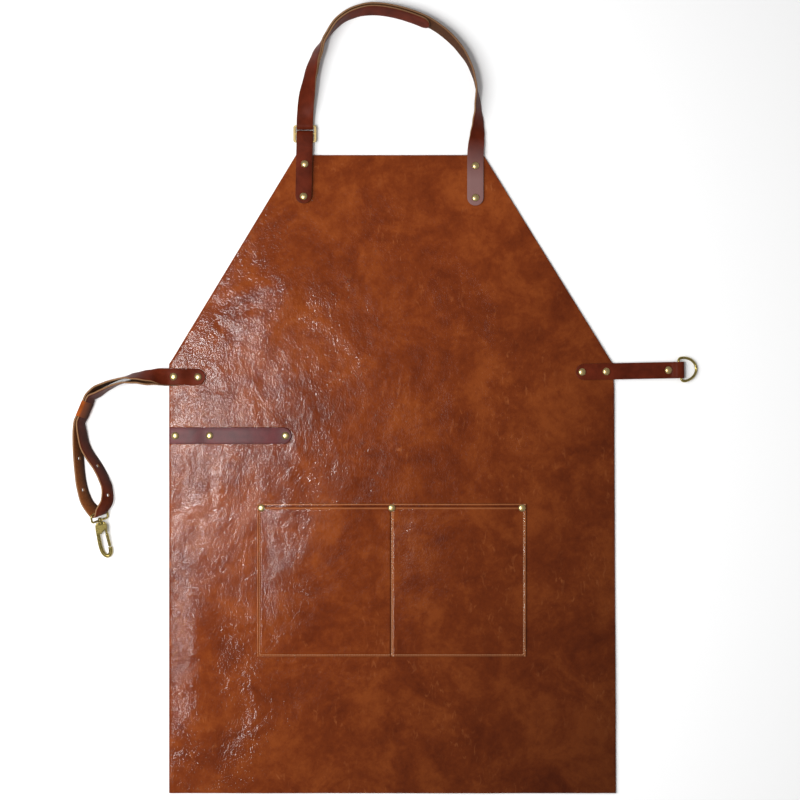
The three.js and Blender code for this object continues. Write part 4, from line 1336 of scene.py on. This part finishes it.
def strap_path(guides):
    """Close points along the guides with the direction across at each: (along, point, across)."""
    points = [guide[0] for guide in guides]
    points = [points[0] * 2 - points[1]] + points + [points[-1] * 2 - points[-2]]
    path = []
    along = 0.0
    for k in range(len(guides) - 1):
        count = max(1, round((guides[k + 1][0] - guides[k][0]).length / PATH_STEP))
        for j in range(count + (k == len(guides) - 2)):
            t = j / count
            point = curve_point(*points[k : k + 4], t)
            across = guides[k][1].lerp(guides[k + 1][1], ease(t, 0, 1))
            if path:
                along += (point - path[-1][1]).length
            path.append((along, point, across))
    return path


def at_length(path, along):
    """The point and direction across at a length along a path."""
    along = min(max(along, path[0][0]), path[-1][0])
    for (a, p, u), (b, q, v) in zip(path, path[1:]):
        if along <= b:
            share = (along - a) / max(1e-6, b - a)
            return p.lerp(q, share), u.lerp(v, share)
    return path[-1][1], path[-1][2]


def strap_stations(guides, width, round_start=True, round_end=True, step=2.5):
    """Stations along a strap: (along, point, across, grain, half width), with rounded tips."""
    path = strap_path(guides)
    length = path[-1][0]
    radius = width / 2
    marks = []
    start = radius if round_start else 0
    end = radius if round_end else 0
    for angle in TIP_ANGLES if round_start else []:
        marks.append((radius * (1 - math.cos(angle)), radius * math.sin(angle)))
    for along in spaced(start, length - end, step)[1 if round_start else 0 : -1 if round_end else None]:
        marks.append((along, radius))
    for angle in reversed(TIP_ANGLES if round_end else []):
        marks.append((length - radius * (1 - math.cos(angle)), radius * math.sin(angle)))
    stations = []
    for along, half in marks:
        point, across = at_length(path, along)
        ahead = at_length(path, along + HEADING_REACH)[0]
        behind = at_length(path, along - HEADING_REACH)[0]
        tangent = (ahead - behind).normalized()
        across = (across - tangent * across.dot(tangent)).normalized()
        grain = tangent.cross(across)
        low = point.z - half * abs(across.z) - STRAP_THICK / 2 * abs(grain.z)
        point.z += max(0.0, FLOOR_CLEAR - low)
        stations.append((along, point, across, grain, half))
    return stations


# Corner of a strap's section: share of the corner's radius from the edge and from the face
CORNER = [(1.0, 0.0), (0.5, 0.13), (0.13, 0.5), (0.0, 1.0)]
GRAIN, FLESH, EDGE = 0, 1, 2


def strap_section(half, thick, corner):
    """Points round a strap's section, (side, face, finish of the skin up to the next point)."""
    soft = min(corner, 0.7 * half)
    top = thick / 2
    flat = half - soft
    points = []
    for share in (-0.5, 0.0, 0.5):
        points.append((share * flat, top, GRAIN))
    for k, (side, face) in enumerate(CORNER):
        points.append((half - soft * side, top - corner * face, GRAIN if k < 2 else EDGE))
    for k, (side, face) in enumerate(reversed(CORNER)):
        points.append((half - soft * side, corner * face - top, EDGE if k < 2 else FLESH))
    for share in (0.5, 0.0, -0.5):
        points.append((share * flat, -top, FLESH))
    for k, (side, face) in enumerate(CORNER):
        points.append((soft * side - half, corner * face - top, FLESH if k < 1 else EDGE))
    for k, (side, face) in enumerate(reversed(CORNER)):
        points.append((soft * side - half, top - corner * face, EDGE if k < 1 else GRAIN))
    return points


def sweep(bm, rings, finishes, closed=False):
    """A skin through rings of points, made by drawing the first ring out from place to place."""
    count = len(rings[0])
    verts = [bm.verts.new(point) for point in rings[0]]
    edges = [bm.edges.new((verts[i], verts[(i + 1) % count])) for i in range(count)]
    first = list(edges)
    for ring in rings[1:]:
        kinds = {frozenset((verts[i], verts[(i + 1) % count])): finishes[i] for i in range(count)}
        drawn = bmesh.ops.extrude_edge_only(bm, edges=edges)["geom"]
        fresh = {item for item in drawn if isinstance(item, bmesh.types.BMVert)}
        old = set(verts)
        for item in drawn:
            if isinstance(item, bmesh.types.BMFace):
                item.material_index = kinds[frozenset(v for v in item.verts if v in old)]
        moved = []
        for vert, point in zip(verts, ring):
            new = next(e.other_vert(vert) for e in vert.link_edges if e.other_vert(vert) in fresh)
            new.co = point
            moved.append(new)
        verts = moved
        edges = [bm.edges.get((verts[i], verts[(i + 1) % count])) for i in range(count)]
    if closed:
        bmesh.ops.bridge_loops(bm, edges=first + edges)
    else:
        for loop in (first, edges):
            bmesh.ops.edgeloop_fill(bm, edges=loop, mat_nr=EDGE if EDGE in finishes else 0)
    bmesh.ops.recalc_face_normals(bm, faces=bm.faces)


def strap_bmesh(stations):
    """A strap's mesh through its stations."""
    bm = bmesh.new()
    rings = []
    section = []
    for _, point, across, grain, half in stations:
        section = strap_section(half, STRAP_THICK, STRAP_CORNER)
        rings.append([(point + across * side + grain * face) * MM for side, face, _ in section])
    sweep(bm, rings, [kind for _, _, kind in section])
    return bm


def place_strap(name, stations, node, grain="strap_grain", flesh="strap_flesh"):
    """A strap in the place of its node."""
    finishes = [grain, flesh, "strap_edge"]
    return place_piece(name, strap_bmesh(stations), finishes, "apron", [node])


def folded_guides(start, bar, radius, upper, lower):
    """Guides of a strap riveted down at its free end and folded round a bar straight ahead."""
    start = Vector((*start, 0))
    ahead = Vector((bar.x - start.x, bar.y - start.y, 0)).normalized()
    across = Vector((-ahead.y, ahead.x, 0))

    def guide(row):
        return start + ahead * row[0] + UP * (row[1] + STRAP_THICK / 2), across.copy()

    fold = fold_guides(bar, ahead, -UP, across, radius, *HALF_TURN)
    return [guide(row) for row in upper] + fold + [guide(row) for row in lower]


class APRON_OT_neck_straps(Operator):
    """Builds the neck strap and the tab that holds its slide"""

    bl_idname = "apron.neck_straps"
    bl_label = "Neck Straps"

    def execute(self, context):
        width = context.scene.apron_straps.width / MM
        high = SLIDE["y"] + (SLIDE["tall"] - SLIDE["bar"]) / 2 - SLIDE["slack"]
        bar = Vector((SLIDE["x"], high, SLIDE_Z))
        fold = fold_guides(bar, Vector((0, -1, 0)), -UP, Vector((1, 0, 0)), SLIDE["fold"], *HALF_TURN)
        guides = route_guides(NECK_ROUTE, 1, width) + fold + route_guides(NECK_TAIL, -1, width)
        place_strap("neck_strap_leather", strap_stations(guides, width), "neck_strap", "neck_grain")
        bar = Vector((SLIDE["x"], SLIDE["y"], SLIDE_Z))
        guides = folded_guides(TAB_END, bar, SLIDE["fold"], TAB_UPPER, TAB_LOWER)
        place_strap("neck_tab_leather", strap_stations(guides, width, step=1.6), "neck_tab")
        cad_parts["neck_slide"].data.materials.clear()
        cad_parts["neck_slide"].data.materials.append(finish("bright_brass"))
        return {"FINISHED"}


class APRON_OT_tool_strip(Operator):
    """Builds the tool strip on the left of the panel"""

    bl_idname = "apron.tool_strip"
    bl_label = "Tool Strip"

    def execute(self, context):
        width = context.scene.apron_straps.width / MM
        across = Vector((0, 1, 0))
        guides = []
        for x, rise in STRIP_ARCHES:
            guides.append((Vector((x, TOOL_STRIP_Y, ON_PANEL + rise + STRAP_THICK / 2)), across.copy()))
        stations = strap_stations(guides, width, round_start=False)
        place_strap("tool_strip_leather", stations, "tool_strip", "strip_grain")
        return {"FINISHED"}


def eye_axes():
    """The hook's eye: its place, bar, level way ahead, rise, and the way that the hook lies."""
    lean = math.radians(EYE_LEAN)
    roll = math.radians(EYE_ROLL)
    swing = math.radians(EYE_SWING)
    side = Vector((math.cos(lean), math.sin(lean), 0))
    ahead = Vector((math.sin(lean), -math.cos(lean), 0))
    bar = side * math.cos(roll) - UP * math.sin(roll)
    rise = side * math.sin(roll) + UP * math.cos(roll)
    down = ahead * math.cos(swing) - rise * math.sin(swing)
    return Vector((EYE["x"], EYE["y"], EYE["z"])), bar, ahead, rise, down


def waist_rows(rows, inset, shares, way):
    """A waist route with the keeper's rows put in."""
    full = []
    for row in rows:
        full += keeper_rows(inset, shares, way) if row == "keeper" else [row]
    return full


class APRON_OT_waist_straps(Operator):
    """Builds the doubled hook strap with its keeper, and the ring's strap"""

    bl_idname = "apron.waist_straps"
    bl_label = "Waist Straps"

    def execute(self, context):
        width = context.scene.apron_straps.width / MM
        place, bar, ahead, rise, _ = eye_axes()
        bite = EYE_FOLD - STRAP_THICK / 2 - GAP - EYE["wire"]
        fold = fold_guides(place - ahead * bite, ahead, rise, -bar, EYE_FOLD, *EYE_TURN)
        out = waist_rows(WAIST_ROUTE, 0, KEEPER_HOLDS, 1)
        back = waist_rows(WAIST_RETURN, KEEPER["apart"], KEEPER_HOLDS[::-1], -1)
        guides = route_guides(out, 1, width) + fold + route_guides(back, -1, width)
        stations = strap_stations(guides, width)
        # The hook strap's finishes carry painted shade near the floor and painted light on its upper edge
        finishes = ("hook_strap_grain", "hook_strap_flesh")
        strap = place_strap("hook_strap_leather", stations, "waist_strap_left", *finishes)
        turn = min(stations, key=lambda station: (station[1] - place).length)[0]
        for offset in WAIST_HOLES:
            spot = min(stations, key=lambda station: abs(station[0] - turn - offset))
            self.punch(strap, spot)
        self.keeper(width)
        bar = Vector((RING["x"] + RING_SLACK, RING["y"], RING_Z))
        guides = folded_guides(RIGHT_END, bar, RING_FOLD, RIGHT_UPPER, RIGHT_LOWER)
        place_strap("ring_strap_leather", strap_stations(guides, width, step=1.8), "waist_strap_right")
        return {"FINISHED"}

    def punch(self, strap, spot):
        """A round hole through the strap at a station."""
        cutter = bmesh.new()
        stand = spot[3].to_track_quat("Z", "Y").to_matrix().to_4x4()
        bmesh.ops.create_cone(
            cutter,
            cap_ends=True,
            segments=20,
            radius1=HOLE_RADIUS * MM,
            radius2=HOLE_RADIUS * MM,
            depth=4 * STRAP_THICK * MM,
            matrix=Matrix.Translation(spot[1] * MM) @ stand,
        )
        for face in cutter.faces:
            face.material_index = EDGE
        carve(strap, cutter, "DIFFERENCE")

    def keeper(self, width):
        """A band round both layers of the hook's strap."""
        top, foot = route_guides(keeper_rows(KEEPER["apart"] / 2, KEEPER_ENDS, 1), 1, width)
        tangent = (foot[0] - top[0]).normalized()
        across = (top[1] - tangent * top[1].dot(tangent)).normalized()
        grain = tangent.cross(across)
        lean = math.radians(KEEPER["lean"])
        half = width / 2 + KEEPER["apart"] / 2 * abs(math.cos(lean)) + KEEPER_PLAY
        deep = STRAP_THICK / 2 + KEEPER["apart"] / 2 * math.sin(lean) + KEEPER_PLAY
        bm = bmesh.new()
        bmesh.ops.create_cube(bm, size=1)
        long = (foot[0] - top[0]).length
        bmesh.ops.scale(bm, vec=(2 * half, 2 * deep, long), verts=bm.verts)
        ends = [face for face in bm.faces if abs(face.normal.z) > FACING]
        bmesh.ops.delete(bm, geom=ends, context="FACES_ONLY")
        sides = [edge for edge in bm.edges if not edge.is_boundary]
        soften_edges(bm, sides, KEEPER_ROUND, 5)
        bmesh.ops.recalc_face_normals(bm, faces=bm.faces)
        bmesh.ops.solidify(bm, geom=bm.faces[:], thickness=KEEPER_WALL)
        for face in bm.faces:
            # Broad faces take the finish with painted shade near the floor; the narrow edges keep the plain
            # keeper colour
            face.material_index = int(abs(face.normal.y) > FACING)
        basis = Matrix((across, grain, tangent)).transposed().to_4x4()
        middle = (top[0] + foot[0]) / 2
        bm.transform(TO_METRES @ Matrix.Translation(middle) @ basis)
        bmesh.ops.recalc_face_normals(bm, faces=bm.faces)
        place_piece(
            "keeper_leather",
            bm,
            ["keeper_grain", "keeper_face"],
            "apron",
            ["waist_keeper"],
            smooth=False,
        )


# Brass
CAP_RADIUS = 5.0
RING_STEPS, RING_SIDES = 110, 20
EYE_STEPS, EYE_SIDES = 96, 18
BAR_SIDES = 22
LATHE_SIDES = 28
RIVET_JOIN, HOOK_JOIN = 1e-6, 1e-4

# A rivet's profile under the leather, and its cap from the height that it sits on: radius, height
RIVET_PROFILE = [
    (0.0, 0.1),
    (3.9, 0.1),
    (4.4, 0.35),
    (4.5, 0.65),
    (4.2, 1.0),
    (1.9, 1.0),
]
CAP_PROFILE = [
    (1.9, 0.05),
    (4.55, 0.05),
    (4.85, 0.14),
    (5.0, 0.42),
    (4.93, 0.74),
    (4.68, 1.08),
    (4.2, 1.44),
    (3.5, 1.78),
    (2.6, 2.05),
    (1.5, 2.2),
    (0.0, 2.25),
]


def lathe(profile, axis, sides, join):
    """A solid turned about an axis from rows of radius and height, with near points joined."""
    bm = bmesh.new()
    verts = [bm.verts.new(Vector((radius, 0, 0)) + axis * height) for radius, height in profile]
    edges = [bm.edges.new(pair) for pair in zip(verts, verts[1:])]
    bmesh.ops.spin(
        bm,
        geom=verts + edges,
        cent=(0, 0, 0),
        axis=axis,
        angle=2 * math.pi,
        steps=sides,
        use_merge=True,
    )
    bmesh.ops.remove_doubles(bm, verts=bm.verts, dist=join)
    bmesh.ops.recalc_face_normals(bm, faces=bm.faces)
    return bm


class APRON_OT_rivets(Operator):
    """Turns the rivets from their profile"""

    bl_idname = "apron.rivets"
    bl_label = "Rivets"

    def execute(self, context):
        metal = context.scene.apron_brass
        size = metal.cap / (CAP_RADIUS * MM)
        for node, (x, y, seat) in RIVETS.items():
            profile = RIVET_PROFILE + [(r * size, z + seat + GAP) for r, z in CAP_PROFILE]
            bm = lathe([(r * MM, z * MM) for r, z in profile], UP, metal.sides, RIVET_JOIN)
            bmesh.ops.translate(bm, vec=(x * MM, y * MM, 0), verts=bm.verts)
            place_piece(f"{node}_turned", bm, ["bright_brass"], "apron", [node])
        return {"FINISHED"}


def wire_rings(spots, wire, sides, basis):
    """Rings of points round a closed line of spots in the XY plane, put in place by a matrix."""
    rings = []
    count = len(spots)
    for k, spot in enumerate(spots):
        heading = (spots[(k + 1) % count] - spots[k - 1]).normalized()
        out = Vector((heading.y, -heading.x, 0))
        ring = []
        for s in range(sides):
            angle = 2 * math.pi * s / sides
            point = spot.to_3d() + out * (wire * math.cos(angle)) + UP * (wire * math.sin(angle))
            ring.append(basis @ point)
        rings.append(ring)
    return rings


def even_spots(corners, count):
    """Even places round a closed line through close corners."""
    lengths = [0.0]
    loop = corners + corners[:1]
    for a, b in zip(loop, loop[1:]):
        lengths.append(lengths[-1] + (b - a).length)
    spots = []
    k = 0
    for step in range(count):
        wanted = lengths[-1] * step / count
        while lengths[k + 1] < wanted:
            k += 1
        share = (wanted - lengths[k]) / (lengths[k + 1] - lengths[k])
        spots.append(loop[k].lerp(loop[k + 1], share))
    return spots


def arc(center, half_x, half_y, low, high, steps=12):
    """Places along an ellipse between two angles in degrees."""
    angles = [math.radians(mix(low, high, k / steps)) for k in range(steps + 1)]
    return [Vector((center[0] + half_x * math.cos(a), center[1] + half_y * math.sin(a))) for a in angles]


class APRON_OT_ring(Operator):
    """Bends the D ring from round wire"""

    bl_idname = "apron.ring"
    bl_label = "Ring"

    def execute(self, context):
        half, corner = RING["half"], RING["corner"]
        line = arc((corner, corner - half), corner, corner, 180, 270, 8)
        line += arc((corner, 0), RING["depth"] - corner, half, -89, 89, 40)
        line += arc((corner, half - corner), corner, corner, 90, 180, 8)
        tilt = math.asin((RING_Z - RING["wire"]) / RING["depth"])
        basis = TO_METRES @ Matrix.Translation((RING["x"], RING["y"], RING_Z))
        basis = basis @ Matrix.Rotation(math.radians(RING["turn"]), 4, "Z") @ Matrix.Rotation(tilt, 4, "Y")
        bm = bmesh.new()
        rings = wire_rings(even_spots(line, RING_STEPS), RING["wire"], RING_SIDES, basis)
        sweep(bm, rings, [0] * RING_SIDES, closed=True)
        place_piece("d_ring_wire", bm, ["antique_brass"], "ring", ["d_ring"])
        return {"FINISHED"}


# Cell of the hook's skin, and how often it is smoothed
VOXEL = 0.26
SOFTENED = 3


class APRON_OT_hook(Operator):
    """Builds the swivel hook's eye, body and gate"""

    bl_idname = "apron.hook"
    bl_label = "Hook"

    def execute(self, context):
        place, bar, _, _, down = eye_axes()
        eye_frame = self.stand(place, bar, down)
        side = UP.cross(down).normalized()
        hook_frame = self.stand(place + down * EYE["deep"], side, down)
        self.eye(eye_frame)
        self.body(hook_frame)
        self.gate(hook_frame)
        return {"FINISHED"}

    def stand(self, place, side, down):
        """The place of a piece whose x is the side and whose y is back up from the way down."""
        turn = Matrix((side, -down, down.cross(side))).transposed().to_4x4()
        return TO_METRES @ Matrix.Translation(place) @ turn

    def turned(self, profile):
        """A solid turned about the y axis."""
        return lathe(profile, BACK, LATHE_SIDES, HOOK_JOIN)

    def block(self, low, high):
        """A box between two corners."""
        bm = bmesh.new()
        bmesh.ops.create_cube(bm, size=1)
        size = Vector(high) - Vector(low)
        bmesh.ops.scale(bm, vec=size, verts=bm.verts)
        bmesh.ops.translate(bm, vec=Vector(low) + size / 2, verts=bm.verts)
        return bm

    def tube(self, spots, halves):
        """A bar of oval section through spots, with its half width and half thickness at each."""
        rings = []
        for k, spot in enumerate(spots):
            ahead = (spots[min(k + 1, len(spots) - 1)] - spots[max(k - 1, 0)]).normalized()
            out = Vector((ahead.y, -ahead.x, 0))
            half, thick = halves[k]
            angles = [2 * math.pi * s / BAR_SIDES for s in range(BAR_SIDES)]
            rings.append([spot + out * (half * math.cos(a)) + UP * (thick * math.sin(a)) for a in angles])
        bm = bmesh.new()
        sweep(bm, rings, [0] * BAR_SIDES)
        return bm

    def forge(self, name, parts, cuts, stand, body, node):
        """Joins parts, cuts others from them, softens the joins and puts the piece in place."""
        piece = place_piece(name, parts[0], ["antique_brass"], body, [node])
        for part in parts[1:]:
            carve(piece, part, "UNION")
        for cut in cuts:
            carve(piece, cut, "DIFFERENCE")
        skin = piece.modifiers.new("skin", "REMESH")
        skin.mode = "VOXEL"
        skin.voxel_size = VOXEL
        skin.use_smooth_shade = True
        evaluated(piece)
        bm = bmesh.new()
        bm.from_mesh(piece.data)
        for _ in range(SOFTENED):
            bmesh.ops.smooth_vert(
                bm,
                verts=bm.verts,
                factor=0.5,
                use_axis_x=True,
                use_axis_y=True,
                use_axis_z=True,
            )
        bm.transform(stand)
        bm.to_mesh(piece.data)
        bm.free()
        piece.data.shade_smooth()

    def eye(self, stand):
        """The wire loop with the boss that the hook turns in."""
        half, corner, deep = EYE["wide"] / 2, EYE["corner"], EYE["deep"]
        line = arc((half - corner, corner - deep), corner, corner, -90, 0, 6)
        line += arc((half - corner, -corner), corner, corner, 0, 90, 6)
        line += arc((corner - half, -corner), corner, corner, 90, 180, 6)
        line += arc((corner - half, corner - deep), corner, corner, 180, 270, 6)
        loop = bmesh.new()
        rings = wire_rings(even_spots(line, EYE_STEPS), EYE["wire"], EYE_SIDES, Matrix())
        sweep(loop, rings, [0] * EYE_SIDES, closed=True)
        boss = self.drum(BOSS["radius"], BOSS["half"])
        hole = self.drum(BOSS["bore"], BOSS["bore_half"])
        self.forge("hook_eye_wire", [loop, boss], [hole], stand, "eye", "hook_eye")

    def drum(self, radius, half):
        """A plain round solid about the middle of the eye's boss."""
        low, high = -EYE["deep"] - half, half - EYE["deep"]
        return self.turned([(0, low), (radius, low), (radius, high), (0, high)])

    def body(self, stand):
        """The shank, the head that carries the gate, the collar and the stud."""
        points = [Vector((x, y, 0)) for x, y in HOOK_LINE]
        points = [points[0] * 2 - points[1]] + points + [points[-1] * 2 - points[-2]]
        spots = []
        for k in range(len(HOOK_LINE) - 1):
            spots += [curve_point(*points[k : k + 4], j / SHANK_STEPS) for j in range(SHANK_STEPS)]
        spots.append(points[-2])
        halves = [(HOOK["half"], HOOK["thick"] / 2)] * len(spots)
        shank = self.tube(spots, halves)
        head = bmesh.new()
        outline = [head.verts.new((x, y, -HOOK["thick"] / 2)) for x, y in HOOK_HEAD]
        face = head.faces.new(outline)
        drawn = bmesh.ops.extrude_face_region(head, geom=[face])["geom"]
        lifted = [item for item in drawn if isinstance(item, bmesh.types.BMVert)]
        bmesh.ops.translate(head, vec=UP * HOOK["thick"], verts=lifted)
        bmesh.ops.recalc_face_normals(head, faces=head.faces)
        soften_edges(head, head.edges[:], HOOK["corner"], 3)
        low = BOSS["half"] + GAP
        collar, foot, soft = HOOK["collar"], -HOOK["collar_foot"], HOOK["collar_soft"]
        top = low + STUD["head_tall"]
        swivel = self.turned(
            [
                (0, foot),
                (collar, foot),
                (collar, -low - soft),
                (collar - soft, -low),
                (STUD["radius"], -low),
                (STUD["radius"], low),
                (STUD["head"], low),
                (STUD["head"], low + STUD["head_side"]),
                (STUD["head"] - STUD["head_soft"], top),
                (0, top),
            ]
        )
        slot_half = TONGUE / 2 + GAP
        x, y, wide, tall = (GATE_SLOT[key] for key in ("x", "y", "wide", "tall"))
        slot = self.block((x - wide / 2, y - tall / 2, -slot_half), (x + wide / 2, y + tall / 2, slot_half))
        self.forge("hook_body_cast", [shank, head, swivel], [slot], stand, "hook", "hook_body")

    def gate(self, stand):
        """The spring gate, from its knuckle to its tip on the nose."""
        start = Vector((GATE["x"], GATE["y"], 0))
        tip = Vector((GATE["tip_x"], GATE["tip_y"], 0))
        way = (tip - start).normalized()
        long = (tip - start).length
        half = GATE["wide"] / 2
        rows = [(along, wide, TONGUE / 2) for along, wide in GATE_TONGUE]
        rows += [
            (GATE["shoulder"], half, half * GATE["shoulder_thin"]),
            (GATE["bar"], half, half),
            (long - GATE["tip_run"], half, half),
            (long, half - GATE["tip_soft"], half - GATE["tip_soft"]),
        ]
        spots = [start + way * row[0] for row in rows]
        bar = self.tube(spots, [(row[1], row[2]) for row in rows])
        self.forge("hook_gate_bar", [bar], [], stand, "gate", "hook_gate")


# Lights that the leather reflects: name, setting of the power, place, size, turn in degrees
GLINT_HEIGHT = 2.2
GLINT_LIGHTS = [
    ("left_light", "key", (-0.69, -0.09), (0.075, 0.5), -10),
    ("low_light", "low", (-0.76, -0.64), (0.075, 0.3), -10),
    ("patch_light", "patch", (-0.51, -0.045), (0.06, 0.09), 0),
    ("sheen_light", "sheen", (-0.42, -0.12), (0.5, 0.5), 0),
]
# Broad lights without a reflection: name, setting of the power, place
BROAD_SIZE = (1.4, 1.4)
BROAD_LIGHTS = [
    ("soft_light", "soft", (-1.2, 0.0, 1.4)),
    ("right_light", "fill", (1.8, 0.2, 1.9)),
]
CAMERA_PLACE = (0.0108, -0.0336)
SENSOR_WIDTH = 36
CLIP_END = 50
FLOOR_HALF = 8
FLOOR_DROP = 0.0003


class APRON_OT_stage(Operator):
    """Sets the floor, the lights and the camera"""

    bl_idname = "apron.stage"
    bl_label = "Stage"

    def execute(self, context):
        stage = context.scene.apron_stage
        self.floor(stage)
        for name, setting, (x, y), size, turn in GLINT_LIGHTS:
            lamp = self.lamp(name, (x, y, GLINT_HEIGHT), (x, y, 0), size, getattr(stage, setting))
            lamp.rotation_euler.z = math.radians(turn)
        for name, setting, place in BROAD_LIGHTS:
            lamp = self.lamp(name, place, (0, 0, 0), BROAD_SIZE, getattr(stage, setting))
            lamp.visible_glossy = False
        world = bpy.data.worlds.new("room")
        world.use_nodes = True
        background = world.node_tree.nodes["Background"]
        background.inputs["Color"].default_value = (1, 1, 1, 1)
        background.inputs["Strength"].default_value = stage.world
        context.scene.world = world
        context.scene.view_settings.view_transform = "Standard"
        lens = bpy.data.cameras.new("camera")
        lens.lens = stage.lens
        lens.sensor_width = SENSOR_WIDTH
        lens.clip_end = CLIP_END
        camera = bpy.data.objects.new("camera", lens)
        context.scene.collection.objects.link(camera)
        camera.location = (*CAMERA_PLACE, stage.frame_width * stage.lens / SENSOR_WIDTH)
        context.scene.camera = camera
        return {"FINISHED"}

    def floor(self, stage):
        """A wide pale floor just under the apron."""
        bm = bmesh.new()
        bmesh.ops.create_grid(bm, x_segments=1, y_segments=1, size=FLOOR_HALF)
        bmesh.ops.translate(bm, vec=(0, 0, -FLOOR_DROP), verts=bm.verts)
        mesh = bpy.data.meshes.new("floor")
        bm.to_mesh(mesh)
        bm.free()
        mesh.materials.append(Shader("floor_paper", tuple(stage.floor), 1.0).material)
        floor = bpy.data.objects.new("floor", mesh)
        bpy.context.scene.collection.objects.link(floor)

    def lamp(self, name, place, aim, size, power):
        """A soft rectangular light."""
        light = bpy.data.lights.new(name, "AREA")
        light.shape = "RECTANGLE"
        light.size, light.size_y = size
        light.energy = power
        lamp = bpy.data.objects.new(name, light)
        bpy.context.scene.collection.objects.link(lamp)
        lamp.location = place
        way = Vector(aim) - Vector(place)
        lamp.rotation_euler = way.to_track_quat("-Z", "Y").to_euler()
        return lamp


OPERATORS = [
    APRON_OT_panel,
    APRON_OT_pocket,
    APRON_OT_tool_strip,
    APRON_OT_neck_straps,
    APRON_OT_waist_straps,
    APRON_OT_rivets,
    APRON_OT_ring,
    APRON_OT_hook,
    APRON_OT_stage,
]


class APRON_PT_sidebar(Panel):
    """Lists the apron's steps in the sidebar"""

    bl_idname = "APRON_PT_sidebar"
    bl_label = "Leather Apron"
    bl_space_type = "VIEW_3D"
    bl_region_type = "UI"
    bl_category = "Apron"

    def draw(self, context):
        for step in OPERATORS:
            self.layout.operator(step.bl_idname)
        for group in ("apron_leather", "apron_straps", "apron_brass", "apron_stage"):
            settings = getattr(context.scene, group)
            box = self.layout.box()
            for name in settings.__annotations__:
                box.prop(settings, name)


GROUPS = {
    "apron_leather": ApronLeather,
    "apron_straps": ApronStraps,
    "apron_brass": ApronBrass,
    "apron_stage": ApronStage,
}


def register():
    """Registers the settings, the steps and the sidebar."""
    for name, group in GROUPS.items():
        bpy.utils.register_class(group)
        setattr(bpy.types.Scene, name, PointerProperty(type=group))
    for step in OPERATORS:
        bpy.utils.register_class(step)
    bpy.utils.register_class(APRON_PT_sidebar)


def unregister():
    """Undoes register."""
    bpy.utils.unregister_class(APRON_PT_sidebar)
    for step in reversed(OPERATORS):
        bpy.utils.unregister_class(step)
    for name, group in GROUPS.items():
        delattr(bpy.types.Scene, name)
        bpy.utils.unregister_class(group)


def main():
    """Builds the apron and its stage."""
    register()
    bpy.ops.apron.panel()
    bpy.ops.apron.pocket()
    bpy.ops.apron.tool_strip()
    bpy.ops.apron.neck_straps()
    bpy.ops.apron.waist_straps()
    bpy.ops.apron.rivets()
    bpy.ops.apron.ring()
    bpy.ops.apron.hook()
    bpy.ops.apron.stage()


if __name__ == "__main__":
    main()
